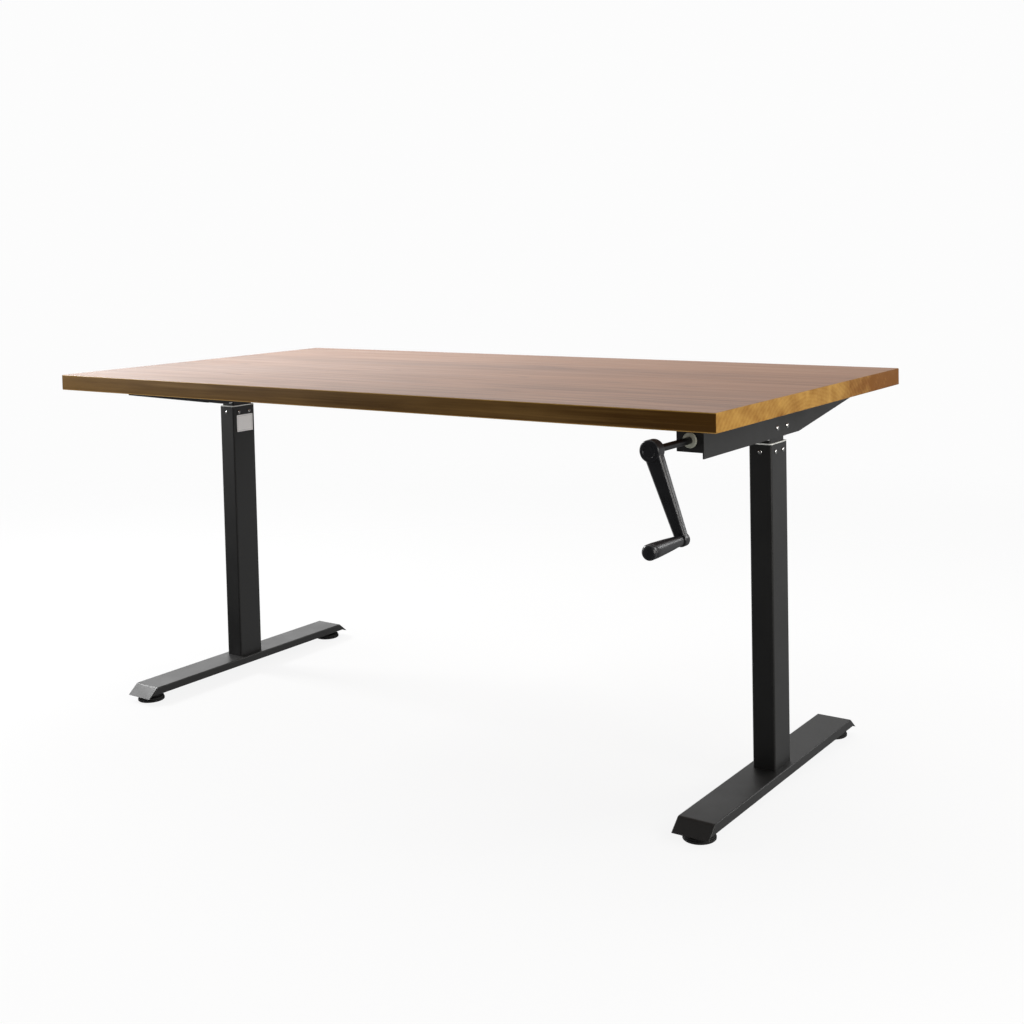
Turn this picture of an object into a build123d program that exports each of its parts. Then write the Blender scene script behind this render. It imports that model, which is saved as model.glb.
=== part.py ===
from build123d import *
from math import cos, radians, sin
import os

# Hand-crank height-adjustable standing desk, shown at its lowest height.
# Millimetres. +X runs along the desktop to the crank side, -Y is the user's side, +Z is up.
# The origin is on the floor, under the middle of the whole desk with its crank.

os.makedirs("parts", exist_ok=True)

# Desktop and overall sizes
TOP_LENGTH = 1600.0
TOP_DEPTH = 800.0
TOP_THICK = 33.0
TOP_EDGE = 1.5
DESK_HEIGHT = 740.0
FIT = 0.05  # radial clearance of a running fit
SLIDE_GAP = 0.3  # gap between a nylon glide and the steel that slides on it

# Crank, measured outwards from the desktop's front edge
CRANK_CLEAR = 2.0
ARM_HUB_THICK = 22.0
ARM_TIP_THICK = 16.0
GRIP_GAP = 1.0
GRIP_LENGTH = 91.0
CAP_LENGTH = 9.0
CRANK_OUT = CRANK_CLEAR + ARM_TIP_THICK + GRIP_GAP + GRIP_LENGTH + CAP_LENGTH
ARM_LENGTH = 146.0
ARM_TILT = 20.0  # degrees from straight down, towards +X
ARM_HUB_R = 18.0
ARM_TIP_R = 11.0
GRIP_R_ARM = 9.0
GRIP_R_CAP = 12.5
GRIP_EDGE = 1.0
GRIP_NECK = 12.0  # the straight part beside the arm
GRIP_BARREL = 10.0  # the straight part beside the cap
GRIP_RECESS = 8.0  # how deep the axle's head is sunk
CAP_PLUG = 3.0
AXLE_R = 4.0
AXLE_HEAD_R = 7.0
AXLE_HEAD = 4.0
AXLE_SEAT = 13.0  # how deep the axle stands in the arm
ARM_EDGE = 2.0
SHAFT_R = 6.0
HEX_FLATS = 6.0

# Where the desktop's middle and the columns stand, front to back
DESK_Y = CRANK_OUT / 2
FRONT_Y = DESK_Y - TOP_DEPTH / 2
COLUMN_Y = DESK_Y + 11.0
LEG_X = 693.0

# Feet: sheet steel channels, open below, with their ends bent down
FOOT_TOP = 35.0
FOOT_WIDTH = 72.0
FOOT_FLAT = 592.0
FOOT_NOSE = 25.0  # how far each bent end reaches past the flat
FOOT_NOSE_Z = 14.0
FOOT_SKIRT_Z = 19.0
FOOT_SHEET = 3.0
FOOT_LEAN = 1.0  # how far a bent end leans inwards over its own thickness
FOOT_BEND_R = 8.0
FOOT_EDGE_R = 2.5
PAD_INSET = 10.0
PAD_R = 29.0
PAD_THICK = 10.0
PAD_EDGE = 1.5
PAD_RUBBER = 5.0  # the soft disc, below the groove
PAD_GROOVE = 2.0
PAD_SHOULDER = 1.4
LOCK_NUT_R = 8.0
LOCK_NUT = 3.0
STUD_R = 4.0
STUD_SEAT = 4.0
STUD_TOP = 31.5
STUD_TIP = 0.8
WELD_NUT_R = 7.0
WELD_NUT_Z = 16.0

# Columns: rectangular tubes, one inside the other
OUTER_X = 45.0
OUTER_Y = 68.0
OUTER_TOP = 634.0
WALL = 2.0
INNER_X = 37.0
INNER_Y = 60.0
INNER_FOOT_Z = 75.0
CORNER = 4.0
BASE_PLATE = 6.0
RIM = 2.0
GLIDE_LENGTH = 40.0
LOWER_GLIDE = 30.0

# Brackets: channels under the desktop, open below
BRACKET_Z = 646.0
BRACKET_WIDTH = 51.0
BRACKET_SHEET = 2.5
WEB = 3.0
BRACKET_FRONT = DESK_Y - 287.0
BRACKET_TAPER = DESK_Y + 92.0
LEFT_TAPER = DESK_Y - 60.0  # where the left bracket starts to taper forwards
BRACKET_REAR = DESK_Y + 375.0
BRACKET_TAIL = 20.0
CHANNEL = BRACKET_WIDTH - 2 * BRACKET_SHEET
TOP_UNDER = DESK_HEIGHT - TOP_THICK
WEB_UNDER = TOP_UNDER - WEB
PLATE_LOW = 656.0
CUT_BACK = DESK_Y - 60.0  # where the right bracket's cut inner wall is deep again
FRONT_PLATE = 3.0

# Drive: bevel gears in a housing on each column, lead screws, and a hex rod between them
CRANK_Z = 676.0
ROD_Z = 659.0
GEAR_R = 7.5
GEAR_CORE = 4.5
GEAR_BACK = 12.0
GEAR_GAP = 0.4
GEAR_RIM = 0.6
TEETH = 12
TOOTH_SPACE = 1.2
TOOTH_DEPTH = 1.4
SLEEVE_R = 5.0
ROD_SLEEVE = 45.0
CRANK_SLEEVE = 72.0
HEX_END = 54.0
ROD_END = 14.0
SCREW_R = 8.0
SCREW_LOW = 110.0
NECK_R = 6.0
TAIL_R = 4.0
SCREW_TIP = 671.0
TOP_PLATE = 3.0
PLATE_LENGTH = 76.0
HOUSING_LOW = BRACKET_Z + TOP_PLATE
HOUSING_FLOOR = 2.0
HOUSING_TOP = 688.0
COVER = 3.0
CAVITY_X = 38.0
CAVITY_Y = 52.0
BEARING = 10.0
BEARING_R = 15.5
NUT_LOW = 560.0
NUT_HIGH = 600.0
NUT_SPIGOT = 12.0
NUT_TUBE_R = 14.0
NUT_TUBE_BORE = 12.0

# Cross rails: two telescoping tubes between the brackets
RAIL_Y = (DESK_Y - 100.0, DESK_Y + 150.0)
RAIL_LOW = 672.0
RAIL_HIGH = 700.0
RAIL_DEPTH = 40.0
RAIL_WALL = 2.0
RAIL_PLUG = 12.0
RAIL_SPLIT = 250.0
RAIL_OVERLAP = 300.0
RAIL_PLAY = 0.2

SIDES = {"left": -1, "right": 1}
ENDS = {"front": -1, "rear": 1}
LOW = (Align.CENTER, Align.CENTER, Align.MIN)
HIGH = (Align.CENTER, Align.CENTER, Align.MAX)


def save(piece, name):
    """Label a finished piece and write its STEP file."""
    piece.part.label = name
    export_step(piece.part, f"parts/{name}.step")


def facing(x, y, z, direction):
    """A plane at a point, whose normal is the given direction."""
    return Plane(origin=(x, y, z), z_dir=direction)


# ---------------------------------------------------------------- fasteners


def button_screw(head_r, head_h, shank_r, shank_l):
    """A domed screw with a hex socket. Its seat is the XY plane and its head points up."""
    with BuildPart() as screw:
        with BuildSketch(Plane.XZ):
            with BuildLine():
                Line((0, 0), (head_r, 0))
                Line((head_r, 0), (head_r, head_h * 0.3))
                ThreePointArc((head_r, head_h * 0.3), (head_r * 0.66, head_h * 0.82), (0, head_h))
                Line((0, head_h), (0, 0))
            make_face()
        revolve(axis=Axis.Z)
        Cylinder(shank_r, shank_l, align=HIGH)
        with BuildSketch(Plane.XY.offset(head_h * 0.4)):
            RegularPolygon(head_r * 0.42, 6)
        extrude(amount=head_h, mode=Mode.SUBTRACT)
    return screw.part


def hex_bolt(head_r, head_h, shank_r, shank_l):
    """A hex-head bolt. Its seat is the XY plane and its head points up."""
    with BuildPart() as bolt:
        with BuildSketch():
            RegularPolygon(head_r, 6)
        extrude(amount=head_h)
        Cylinder(shank_r, shank_l, align=HIGH)
    return bolt.part


def group(name, pattern, places):
    """Copies of one fastener, each its own solid, at a list of planes."""
    with BuildPart() as pieces:
        with Locations(*places):
            add(pattern)
    save(pieces, name)


GLIDE_SCREW_Z = 620.0
GLIDE_SCREW_Y = 16.0
GLIDE_SHANK = 3.4
GLIDE_SHANK_R = 2.0
BASE_BOLTS = [(dx, dy) for dx in (-12.0, 12.0) for dy in (-22.0, 22.0)]
BASE_BOLT_R = 3.0
HOUSING_SCREW_Y = (-13.0, 29.0)
HOUSING_SCREW_Z = 663.0
HOUSING_SHANK_R = 2.5
HOUSING_SHANK = 8.0
PLATE_BOLTS = [(dx, dy) for dx in (-15.0, 15.0) for dy in (-34.0, 34.0)]
PLATE_BOLT_R = 2.5
PLATE_BOLT_LENGTH = 14.0
TOP_SCREWS = [(-14.0, -250.0), (14.0, -120.0), (-14.0, 120.0), (14.0, 320.0)]
TOP_SCREW_R = 2.5
TOP_SCREW_DEPTH = 20.0
RAIL_BOLT_R = 3.0
RAIL_BOLT_Y = 12.0
LOCK_SCREW_X = (RAIL_SPLIT - 25.0, RAIL_SPLIT - 105.0)


def glide_screw_places(leg_x):
    """Seats of the screws that hold the upper glide, round the column's four faces."""
    places = []
    for way in (-1, 1):
        for dy in (-GLIDE_SCREW_Y, GLIDE_SCREW_Y):
            places.append(facing(leg_x + way * OUTER_X / 2, COLUMN_Y + dy, GLIDE_SCREW_Z, (way, 0, 0)))
        places.append(facing(leg_x, COLUMN_Y + way * OUTER_Y / 2, GLIDE_SCREW_Z, (0, way, 0)))
    return places


def housing_screw_places(leg_x):
    """Seats of the screws that hold the gear housing to the bracket's two walls."""
    return [
        facing(leg_x + way * BRACKET_WIDTH / 2, COLUMN_Y + dy, HOUSING_SCREW_Z, (way, 0, 0))
        for way in (-1, 1)
        for dy in HOUSING_SCREW_Y
    ]


def top_screw_points():
    """Where the desktop screws stand, on both brackets."""
    return [(side * LEG_X + dx, DESK_Y + dy) for side in SIDES.values() for dx, dy in TOP_SCREWS]


# ---------------------------------------------------------------- desktop


def desktop():
    with BuildPart() as top:
        with BuildSketch(Plane.XY.offset(TOP_UNDER)):
            with Locations((0, DESK_Y)):
                Rectangle(TOP_LENGTH, TOP_DEPTH)
        extrude(amount=TOP_THICK)
        chamfer(top.edges(), TOP_EDGE)
        with BuildSketch(Plane.XY.offset(TOP_UNDER)):
            with Locations(*top_screw_points()):
                Circle(TOP_SCREW_R)
        extrude(amount=TOP_SCREW_DEPTH, mode=Mode.SUBTRACT)
    save(top, "desktop")


# ---------------------------------------------------------------- feet


def foot(name, leg_x):
    half = FOOT_FLAT / 2
    nose = half + FOOT_NOSE
    lip = nose - FOOT_SHEET
    skirt = lip - FOOT_SHEET - FOOT_LEAN
    bend = half - FOOT_SHEET / 2
    pads = [(leg_x, COLUMN_Y + way * (half - PAD_INSET)) for way in ENDS.values()]
    with BuildPart() as channel:
        with BuildSketch(Plane.YZ.offset(leg_x - FOOT_WIDTH / 2)):
            with Locations((COLUMN_Y, 0)):
                Polygon(
                    (-nose, FOOT_NOSE_Z),
                    (-half, FOOT_TOP),
                    (half, FOOT_TOP),
                    (nose, FOOT_NOSE_Z),
                    (lip, FOOT_NOSE_Z),
                    (skirt, FOOT_SKIRT_Z),
                    (-skirt, FOOT_SKIRT_Z),
                    (-lip, FOOT_NOSE_Z),
                    align=None,
                )
        extrude(amount=FOOT_WIDTH)
        bends = channel.edges().filter_by(Axis.X).group_by(Axis.Z)[-1]
        fillet(bends, FOOT_BEND_R)
        flat = channel.faces().filter_by(Axis.Z).sort_by(Axis.Z)[-1]
        fillet(flat.edges().filter_by(Axis.Y), FOOT_EDGE_R)
        with BuildSketch(Plane.YZ.offset(leg_x - FOOT_WIDTH / 2 + FOOT_SHEET)):
            with Locations((COLUMN_Y, 0)):
                Polygon(
                    (-lip, 0),
                    (FOOT_LEAN - lip, FOOT_NOSE_Z),
                    (-bend, FOOT_TOP - FOOT_SHEET),
                    (bend, FOOT_TOP - FOOT_SHEET),
                    (lip - FOOT_LEAN, FOOT_NOSE_Z),
                    (lip, 0),
                    align=None,
                )
        extrude(amount=FOOT_WIDTH - 2 * FOOT_SHEET, mode=Mode.SUBTRACT)
        with BuildSketch(Plane.XY.offset(WELD_NUT_Z)):
            with Locations(*pads):
                Circle(WELD_NUT_R)
                Circle(STUD_R + FIT, mode=Mode.SUBTRACT)
        extrude(amount=FOOT_TOP - FOOT_SHEET - WELD_NUT_Z)
        with BuildSketch(Plane.XY.offset(FOOT_TOP)):
            with Locations(*[(leg_x + dx, COLUMN_Y + dy) for dx, dy in BASE_BOLTS]):
                Circle(BASE_BOLT_R)
        extrude(amount=-FOOT_SHEET, mode=Mode.SUBTRACT)
    save(channel, name)


def levelling_pad(name, x, y):
    """A rubber disc under a plastic cap, on a threaded stud with its lock nut."""
    waist = PAD_R - PAD_GROOVE
    cap_r = waist + PAD_GROOVE / 2
    cap_low = PAD_RUBBER + PAD_GROOVE
    socket = PAD_THICK - STUD_SEAT
    with BuildPart() as pad:
        with BuildSketch(Plane(origin=(x, y, 0), x_dir=(1, 0, 0), z_dir=(0, -1, 0))):
            with BuildLine():
                Polyline(
                    (0, 0),
                    (PAD_R - PAD_EDGE, 0),
                    (PAD_R, PAD_EDGE),
                    (PAD_R, PAD_RUBBER),
                    (waist, PAD_RUBBER + PAD_GROOVE / 3),
                    (waist, cap_low - PAD_GROOVE / 4),
                    (cap_r, cap_low),
                    (cap_r, PAD_THICK - PAD_SHOULDER),
                    (cap_r - PAD_SHOULDER, PAD_THICK),
                    (0, PAD_THICK),
                    close=True,
                )
            make_face()
        revolve(axis=Axis((x, y, 0), (0, 0, 1)))
        with BuildSketch(Plane.XY.offset(PAD_THICK)):
            with Locations((x, y)):
                RegularPolygon(LOCK_NUT_R, 6)
        extrude(amount=LOCK_NUT)
        with BuildSketch(Plane.XY.offset(socket)):
            with Locations((x, y)):
                Circle(STUD_R)
        extrude(amount=STUD_SEAT + LOCK_NUT, mode=Mode.SUBTRACT)
    save(pad, f"pad_{name}")
    with BuildPart() as stud:
        with BuildSketch(Plane.XY.offset(socket)):
            with Locations((x, y)):
                Circle(STUD_R)
        extrude(amount=STUD_TOP - socket)
        chamfer(stud.edges().group_by(Axis.Z)[-1], STUD_TIP)
    save(stud, f"stud_{name}")


# ---------------------------------------------------------------- columns


def outer_column(name, leg_x):
    """The lower tube, with its base plate welded inside its foot."""
    with BuildPart() as tube:
        with BuildSketch(Plane.XY.offset(FOOT_TOP)):
            with Locations((leg_x, COLUMN_Y)):
                RectangleRounded(OUTER_X, OUTER_Y, CORNER)
                RectangleRounded(OUTER_X - 2 * WALL, OUTER_Y - 2 * WALL, CORNER - WALL, mode=Mode.SUBTRACT)
        extrude(amount=OUTER_TOP - FOOT_TOP)
        with BuildSketch(Plane.XY.offset(FOOT_TOP)):
            with Locations((leg_x, COLUMN_Y)):
                Rectangle(OUTER_X - 2 * WALL, OUTER_Y - 2 * WALL)
            with Locations(*[(leg_x + dx, COLUMN_Y + dy) for dx, dy in BASE_BOLTS]):
                Circle(BASE_BOLT_R, mode=Mode.SUBTRACT)
        extrude(amount=BASE_PLATE)
        with Locations(*glide_screw_places(leg_x)):
            Cylinder(GLIDE_SHANK_R, 3 * WALL, mode=Mode.SUBTRACT)
    save(tube, name)


def upper_glide(name, leg_x):
    """A nylon ring in the mouth of the lower tube, with a rim that shows on top."""
    with BuildPart() as ring:
        with BuildSketch(Plane.XY.offset(OUTER_TOP - GLIDE_LENGTH)):
            with Locations((leg_x, COLUMN_Y)):
                RectangleRounded(OUTER_X - 2 * WALL, OUTER_Y - 2 * WALL, CORNER - WALL)
        extrude(amount=GLIDE_LENGTH)
        with BuildSketch(Plane.XY.offset(OUTER_TOP)):
            with Locations((leg_x, COLUMN_Y)):
                RectangleRounded(OUTER_X, OUTER_Y, CORNER)
        extrude(amount=RIM)
        with BuildSketch(Plane.XY.offset(OUTER_TOP - GLIDE_LENGTH)):
            with Locations((leg_x, COLUMN_Y)):
                RectangleRounded(INNER_X + 2 * SLIDE_GAP, INNER_Y + 2 * SLIDE_GAP, CORNER)
        extrude(amount=GLIDE_LENGTH + RIM, mode=Mode.SUBTRACT)
        with Locations(*glide_screw_places(leg_x)):
            Cylinder(GLIDE_SHANK_R, GLIDE_SHANK, align=HIGH, mode=Mode.SUBTRACT)
    save(ring, name)


def inner_column(name, leg_x):
    """The upper tube, with its top plate welded on."""
    with BuildPart() as tube:
        with BuildSketch(Plane.XY.offset(INNER_FOOT_Z)):
            with Locations((leg_x, COLUMN_Y)):
                RectangleRounded(INNER_X, INNER_Y, CORNER)
                RectangleRounded(INNER_X - 2 * WALL, INNER_Y - 2 * WALL, CORNER - WALL, mode=Mode.SUBTRACT)
        extrude(amount=BRACKET_Z - INNER_FOOT_Z)
        with BuildSketch(Plane.XY.offset(BRACKET_Z)):
            with Locations((leg_x, COLUMN_Y)):
                Rectangle(CHANNEL, PLATE_LENGTH)
                Circle(NECK_R + 0.5, mode=Mode.SUBTRACT)
            with Locations(*[(leg_x + dx, COLUMN_Y + dy) for dx, dy in PLATE_BOLTS]):
                Circle(PLATE_BOLT_R, mode=Mode.SUBTRACT)
        extrude(amount=TOP_PLATE)
    save(tube, name)


def lower_glide(name, leg_x):
    """A nylon sleeve round the foot of the upper tube, inside the lower one."""
    with BuildPart() as ring:
        with BuildSketch(Plane.XY.offset(INNER_FOOT_Z)):
            with Locations((leg_x, COLUMN_Y)):
                RectangleRounded(
                    OUTER_X - 2 * WALL - 2 * SLIDE_GAP, OUTER_Y - 2 * WALL - 2 * SLIDE_GAP, CORNER
                )
                RectangleRounded(INNER_X, INNER_Y, CORNER, mode=Mode.SUBTRACT)
        extrude(amount=LOWER_GLIDE)
    save(ring, name)


# ---------------------------------------------------------------- lead screws


def nut_tube(name, leg_x):
    """The tube that carries the drive nut up inside the column."""
    low = FOOT_TOP + BASE_PLATE
    with BuildPart() as tube:
        with BuildSketch(Plane.XY.offset(low)):
            with Locations((leg_x, COLUMN_Y)):
                Circle(NUT_TUBE_R)
                Circle(NUT_TUBE_BORE, mode=Mode.SUBTRACT)
        extrude(amount=NUT_LOW - low)
    save(tube, name)


def drive_nut(name, leg_x):
    with BuildPart() as nut:
        with BuildSketch(Plane.XY.offset(NUT_LOW)):
            with Locations((leg_x, COLUMN_Y)):
                Circle(NUT_TUBE_R)
                Circle(SCREW_R + FIT, mode=Mode.SUBTRACT)
        extrude(amount=NUT_HIGH - NUT_LOW)
        chamfer(nut.edges().group_by(Axis.Z)[-1].sort_by(SortBy.RADIUS)[-1], 1.5)
        with BuildSketch(Plane.XY.offset(NUT_LOW)):
            with Locations((leg_x, COLUMN_Y)):
                Circle(NUT_TUBE_BORE)
                Circle(SCREW_R + FIT, mode=Mode.SUBTRACT)
        extrude(amount=-NUT_SPIGOT)
    save(nut, name)


def lead_screw(name, leg_x):
    """The screw, necked down through its bearing and the housing floor to carry its gear."""
    shoulder = BRACKET_Z - BEARING - 0.2
    with BuildPart() as screw:
        with BuildSketch(Plane(origin=(leg_x, COLUMN_Y, 0), x_dir=(1, 0, 0), z_dir=(0, -1, 0))):
            with BuildLine():
                Polyline(
                    (0, SCREW_LOW),
                    (SCREW_R - 1.5, SCREW_LOW),
                    (SCREW_R, SCREW_LOW + 1.5),
                    (SCREW_R, shoulder),
                    (NECK_R, shoulder),
                    (NECK_R, HOUSING_LOW + HOUSING_FLOOR),
                    (TAIL_R, HOUSING_LOW + HOUSING_FLOOR),
                    (TAIL_R, SCREW_TIP),
                    (0, SCREW_TIP),
                    close=True,
                )
            make_face()
        revolve(axis=Axis((leg_x, COLUMN_Y, 0), (0, 0, 1)))
    save(screw, name)


def thrust_bearing(name, leg_x):
    """The bearing that carries the desktop's weight on the screw's shoulder."""
    with BuildPart() as bearing:
        with BuildSketch(Plane.XY.offset(BRACKET_Z - BEARING)):
            with Locations((leg_x, COLUMN_Y)):
                Circle(BEARING_R)
                Circle(NECK_R + FIT, mode=Mode.SUBTRACT)
        extrude(amount=BEARING)
        rims = bearing.edges().filter_by(GeomType.CIRCLE).filter_by(lambda e: e.radius > NECK_R + 1)
        chamfer(rims, 1.0)
    save(bearing, name)


# ---------------------------------------------------------------- bevel gears


def toothed_cone(apex, towards, side, bore_r):
    """A 45 degree bevel gear face. Its axis meets the mating gear's at the apex."""
    apex = Vector(*apex)
    towards = Vector(*towards)
    side = Vector(*side)
    profile = Plane(origin=apex, x_dir=side, z_dir=side.cross(towards))
    pitch_r = (GEAR_R + GEAR_CORE) / 2
    teeth = Plane(origin=apex - towards * (pitch_r + GEAR_GAP), x_dir=side, z_dir=towards)
    with BuildPart(teeth) as gear:
        with BuildSketch(profile):
            with BuildLine():
                Polyline(
                    (bore_r, -GEAR_CORE - GEAR_GAP),
                    (GEAR_CORE, -GEAR_CORE - GEAR_GAP),
                    (GEAR_R, -GEAR_R - GEAR_GAP),
                    (GEAR_R, -GEAR_R - GEAR_GAP - GEAR_RIM),
                    (bore_r, -GEAR_R - GEAR_GAP - GEAR_RIM),
                    close=True,
                )
            make_face()
        revolve(axis=Axis(apex, towards))
        with PolarLocations(pitch_r, TEETH):
            Box(2 * GEAR_CORE, TOOTH_SPACE, TOOTH_DEPTH, rotation=(0, 45, 0), mode=Mode.SUBTRACT)
    return gear.part


def screw_gear(name, leg_x):
    """Two bevel faces back to back: the upper meets the crank gear, the lower the rod gear."""
    upper = toothed_cone((leg_x, COLUMN_Y, CRANK_Z), (0, 0, 1), (1, 0, 0), TAIL_R)
    lower = toothed_cone((leg_x, COLUMN_Y, ROD_Z), (0, 0, -1), (1, 0, 0), TAIL_R)
    with BuildPart() as gear:
        add(upper)
        add(lower)
    save(gear, name)


def sleeved_gear(name, apex, towards, side, sleeve_end, bore_flats):
    """A bevel gear on a sleeve with a hexagonal bore."""
    face = toothed_cone(apex, towards, side, 0)
    axis_plane = Plane(origin=apex, x_dir=side, z_dir=[-v for v in towards])
    back = GEAR_R + GEAR_GAP
    with BuildPart() as gear:
        add(face)
        with BuildSketch(axis_plane.offset(back)):
            Circle(GEAR_R)
        extrude(amount=GEAR_BACK - back)
        with BuildSketch(axis_plane.offset(GEAR_BACK)):
            Circle(SLEEVE_R)
        extrude(amount=sleeve_end - GEAR_BACK)
        with BuildSketch(axis_plane):
            RegularPolygon(bore_flats / 2, 6, major_radius=False)
        extrude(amount=sleeve_end, mode=Mode.SUBTRACT)
    save(gear, name)


def hex_rod():
    end = LEG_X - ROD_END
    with BuildPart() as rod:
        with BuildSketch(Plane(origin=(-end, COLUMN_Y, ROD_Z), x_dir=(0, 1, 0), z_dir=(1, 0, 0))):
            RegularPolygon(HEX_FLATS / 2, 6, major_radius=False)
        extrude(amount=2 * end)
    save(rod, "hex_rod")


# ---------------------------------------------------------------- gear housings


def gear_housing(name, leg_x, side):
    """An open box round the gears, bored for the screw, the rod and, on the right, the crank."""
    with BuildPart() as box:
        with BuildSketch(Plane.XY.offset(HOUSING_LOW)):
            with Locations((leg_x, COLUMN_Y)):
                Rectangle(CHANNEL, PLATE_LENGTH)
        extrude(amount=HOUSING_TOP - HOUSING_LOW)
        with BuildSketch(Plane.XY.offset(HOUSING_LOW + HOUSING_FLOOR)):
            with Locations((leg_x, COLUMN_Y)):
                Rectangle(CAVITY_X, CAVITY_Y)
        extrude(amount=HOUSING_TOP - HOUSING_LOW, mode=Mode.SUBTRACT)
        with BuildSketch(Plane.XY.offset(HOUSING_LOW)):
            with Locations((leg_x, COLUMN_Y)):
                Circle(NECK_R + FIT)
        extrude(amount=HOUSING_FLOOR, mode=Mode.SUBTRACT)
        with Locations(facing(leg_x, COLUMN_Y, ROD_Z, (-side, 0, 0))):
            Cylinder(SLEEVE_R + FIT, CHANNEL, align=LOW, mode=Mode.SUBTRACT)
        if side > 0:
            with Locations(facing(leg_x, COLUMN_Y, CRANK_Z, (0, -1, 0))):
                Cylinder(SLEEVE_R + FIT, PLATE_LENGTH, align=LOW, mode=Mode.SUBTRACT)
        with Locations(*housing_screw_places(leg_x)):
            Cylinder(HOUSING_SHANK_R, HOUSING_SHANK, align=HIGH, mode=Mode.SUBTRACT)
        with BuildSketch(Plane.XY.offset(HOUSING_LOW)):
            with Locations(*[(leg_x + dx, COLUMN_Y + dy) for dx, dy in PLATE_BOLTS]):
                Circle(PLATE_BOLT_R)
        extrude(amount=PLATE_BOLT_LENGTH - TOP_PLATE, mode=Mode.SUBTRACT)
    save(box, name)


def gear_cover(name, leg_x):
    with BuildPart() as cover:
        with BuildSketch(Plane.XY.offset(HOUSING_TOP)):
            with Locations((leg_x, COLUMN_Y)):
                Rectangle(CHANNEL, PLATE_LENGTH)
        extrude(amount=COVER)
        chamfer(cover.edges().group_by(Axis.Z)[-1], 1.0)
    save(cover, name)


# ---------------------------------------------------------------- brackets and rails


def bracket(name, leg_x, side):
    """A channel of bent sheet, tapered behind.

    The left one tapers forwards too. The right one stays deep in front for the crank's
    shaft, and its inner wall is cut back there to the level of the front plate.
    """
    front = [(BRACKET_FRONT, BRACKET_Z)]
    if side < 0:
        front = [(BRACKET_FRONT, TOP_UNDER - BRACKET_TAIL), (LEFT_TAPER, BRACKET_Z)]
    with BuildPart() as channel:
        with BuildSketch(Plane.YZ.offset(leg_x - BRACKET_WIDTH / 2)):
            Polygon(
                *front,
                (BRACKET_TAPER, BRACKET_Z),
                (BRACKET_REAR, TOP_UNDER - BRACKET_TAIL),
                (BRACKET_REAR, TOP_UNDER),
                (BRACKET_FRONT, TOP_UNDER),
                align=None,
            )
        extrude(amount=BRACKET_WIDTH)
        fillet(channel.edges().filter_by(Axis.Y).group_by(Axis.Z)[-1], 1.5)
        with BuildSketch(Plane.YZ.offset(leg_x - CHANNEL / 2)):
            Polygon(
                (BRACKET_FRONT - 1, 0),
                (BRACKET_REAR + 1, 0),
                (BRACKET_REAR + 1, WEB_UNDER),
                (BRACKET_FRONT - 1, WEB_UNDER),
                align=None,
            )
        extrude(amount=CHANNEL, mode=Mode.SUBTRACT)
        if side > 0:
            with BuildSketch(Plane.YZ.offset(leg_x - BRACKET_WIDTH / 2)):
                Polygon(
                    (BRACKET_FRONT, BRACKET_Z),
                    (CUT_BACK, BRACKET_Z),
                    (CUT_BACK - (PLATE_LOW - BRACKET_Z), PLATE_LOW),
                    (BRACKET_FRONT, PLATE_LOW),
                    align=None,
                )
            extrude(amount=BRACKET_SHEET, mode=Mode.SUBTRACT)
        with BuildSketch(Plane.XY.offset(WEB_UNDER)):
            with Locations(*[(leg_x + dx, DESK_Y + dy) for dx, dy in TOP_SCREWS]):
                Circle(TOP_SCREW_R)
        extrude(amount=WEB, mode=Mode.SUBTRACT)
        with Locations(facing(leg_x - side * CHANNEL / 2, COLUMN_Y, ROD_Z, (-side, 0, 0))):
            Cylinder(SLEEVE_R + 1, 2 * BRACKET_SHEET, align=LOW, mode=Mode.SUBTRACT)
        with Locations(*housing_screw_places(leg_x)):
            Cylinder(HOUSING_SHANK_R, BRACKET_SHEET, align=HIGH, mode=Mode.SUBTRACT)
        with Locations(*rail_bolt_places(leg_x, side)):
            Cylinder(RAIL_BOLT_R, BRACKET_SHEET, align=HIGH, mode=Mode.SUBTRACT)
    save(channel, name)


def rail_bolt_places(leg_x, side):
    """Seats of the rail bolts, on the channel side of the bracket's inner wall."""
    x = leg_x - side * CHANNEL / 2
    z = (RAIL_LOW + RAIL_HIGH) / 2
    return [facing(x, y + dy, z, (side, 0, 0)) for y in RAIL_Y for dy in (-RAIL_BOLT_Y, RAIL_BOLT_Y)]


def rail(name, y, start, end, depth, height, side):
    """One rail tube between two X positions, with a solid plug at its bracket end."""
    z = (RAIL_LOW + RAIL_HIGH) / 2
    plug_x = start if side < 0 else end - RAIL_PLUG
    with BuildPart() as tube:
        with BuildSketch(Plane(origin=(start, y, z), x_dir=(0, 1, 0), z_dir=(1, 0, 0))):
            RectangleRounded(depth, height, 3.0)
            RectangleRounded(depth - 2 * RAIL_WALL, height - 2 * RAIL_WALL, 1.0, mode=Mode.SUBTRACT)
        extrude(amount=end - start)
        with BuildSketch(Plane(origin=(plug_x, y, z), x_dir=(0, 1, 0), z_dir=(1, 0, 0))):
            RectangleRounded(depth, height, 3.0)
        extrude(amount=RAIL_PLUG)
        with Locations(*[p for p in rail_bolt_places(side * LEG_X, side) if abs(p.origin.Y - y) < depth]):
            Cylinder(RAIL_BOLT_R, BRACKET_SHEET + RAIL_PLUG - 2, align=HIGH, mode=Mode.SUBTRACT)
        if side < 0:
            with Locations(*lock_screw_places(y)):
                Cylinder(RAIL_BOLT_R, RAIL_WALL, align=HIGH, mode=Mode.SUBTRACT)
    save(tube, name)


def lock_screw_places(y):
    """Seats of the screws under the wide rail tube that lock the narrow one."""
    return [facing(x, y, RAIL_LOW, (0, 0, -1)) for x in LOCK_SCREW_X]


# ---------------------------------------------------------------- crank


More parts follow.
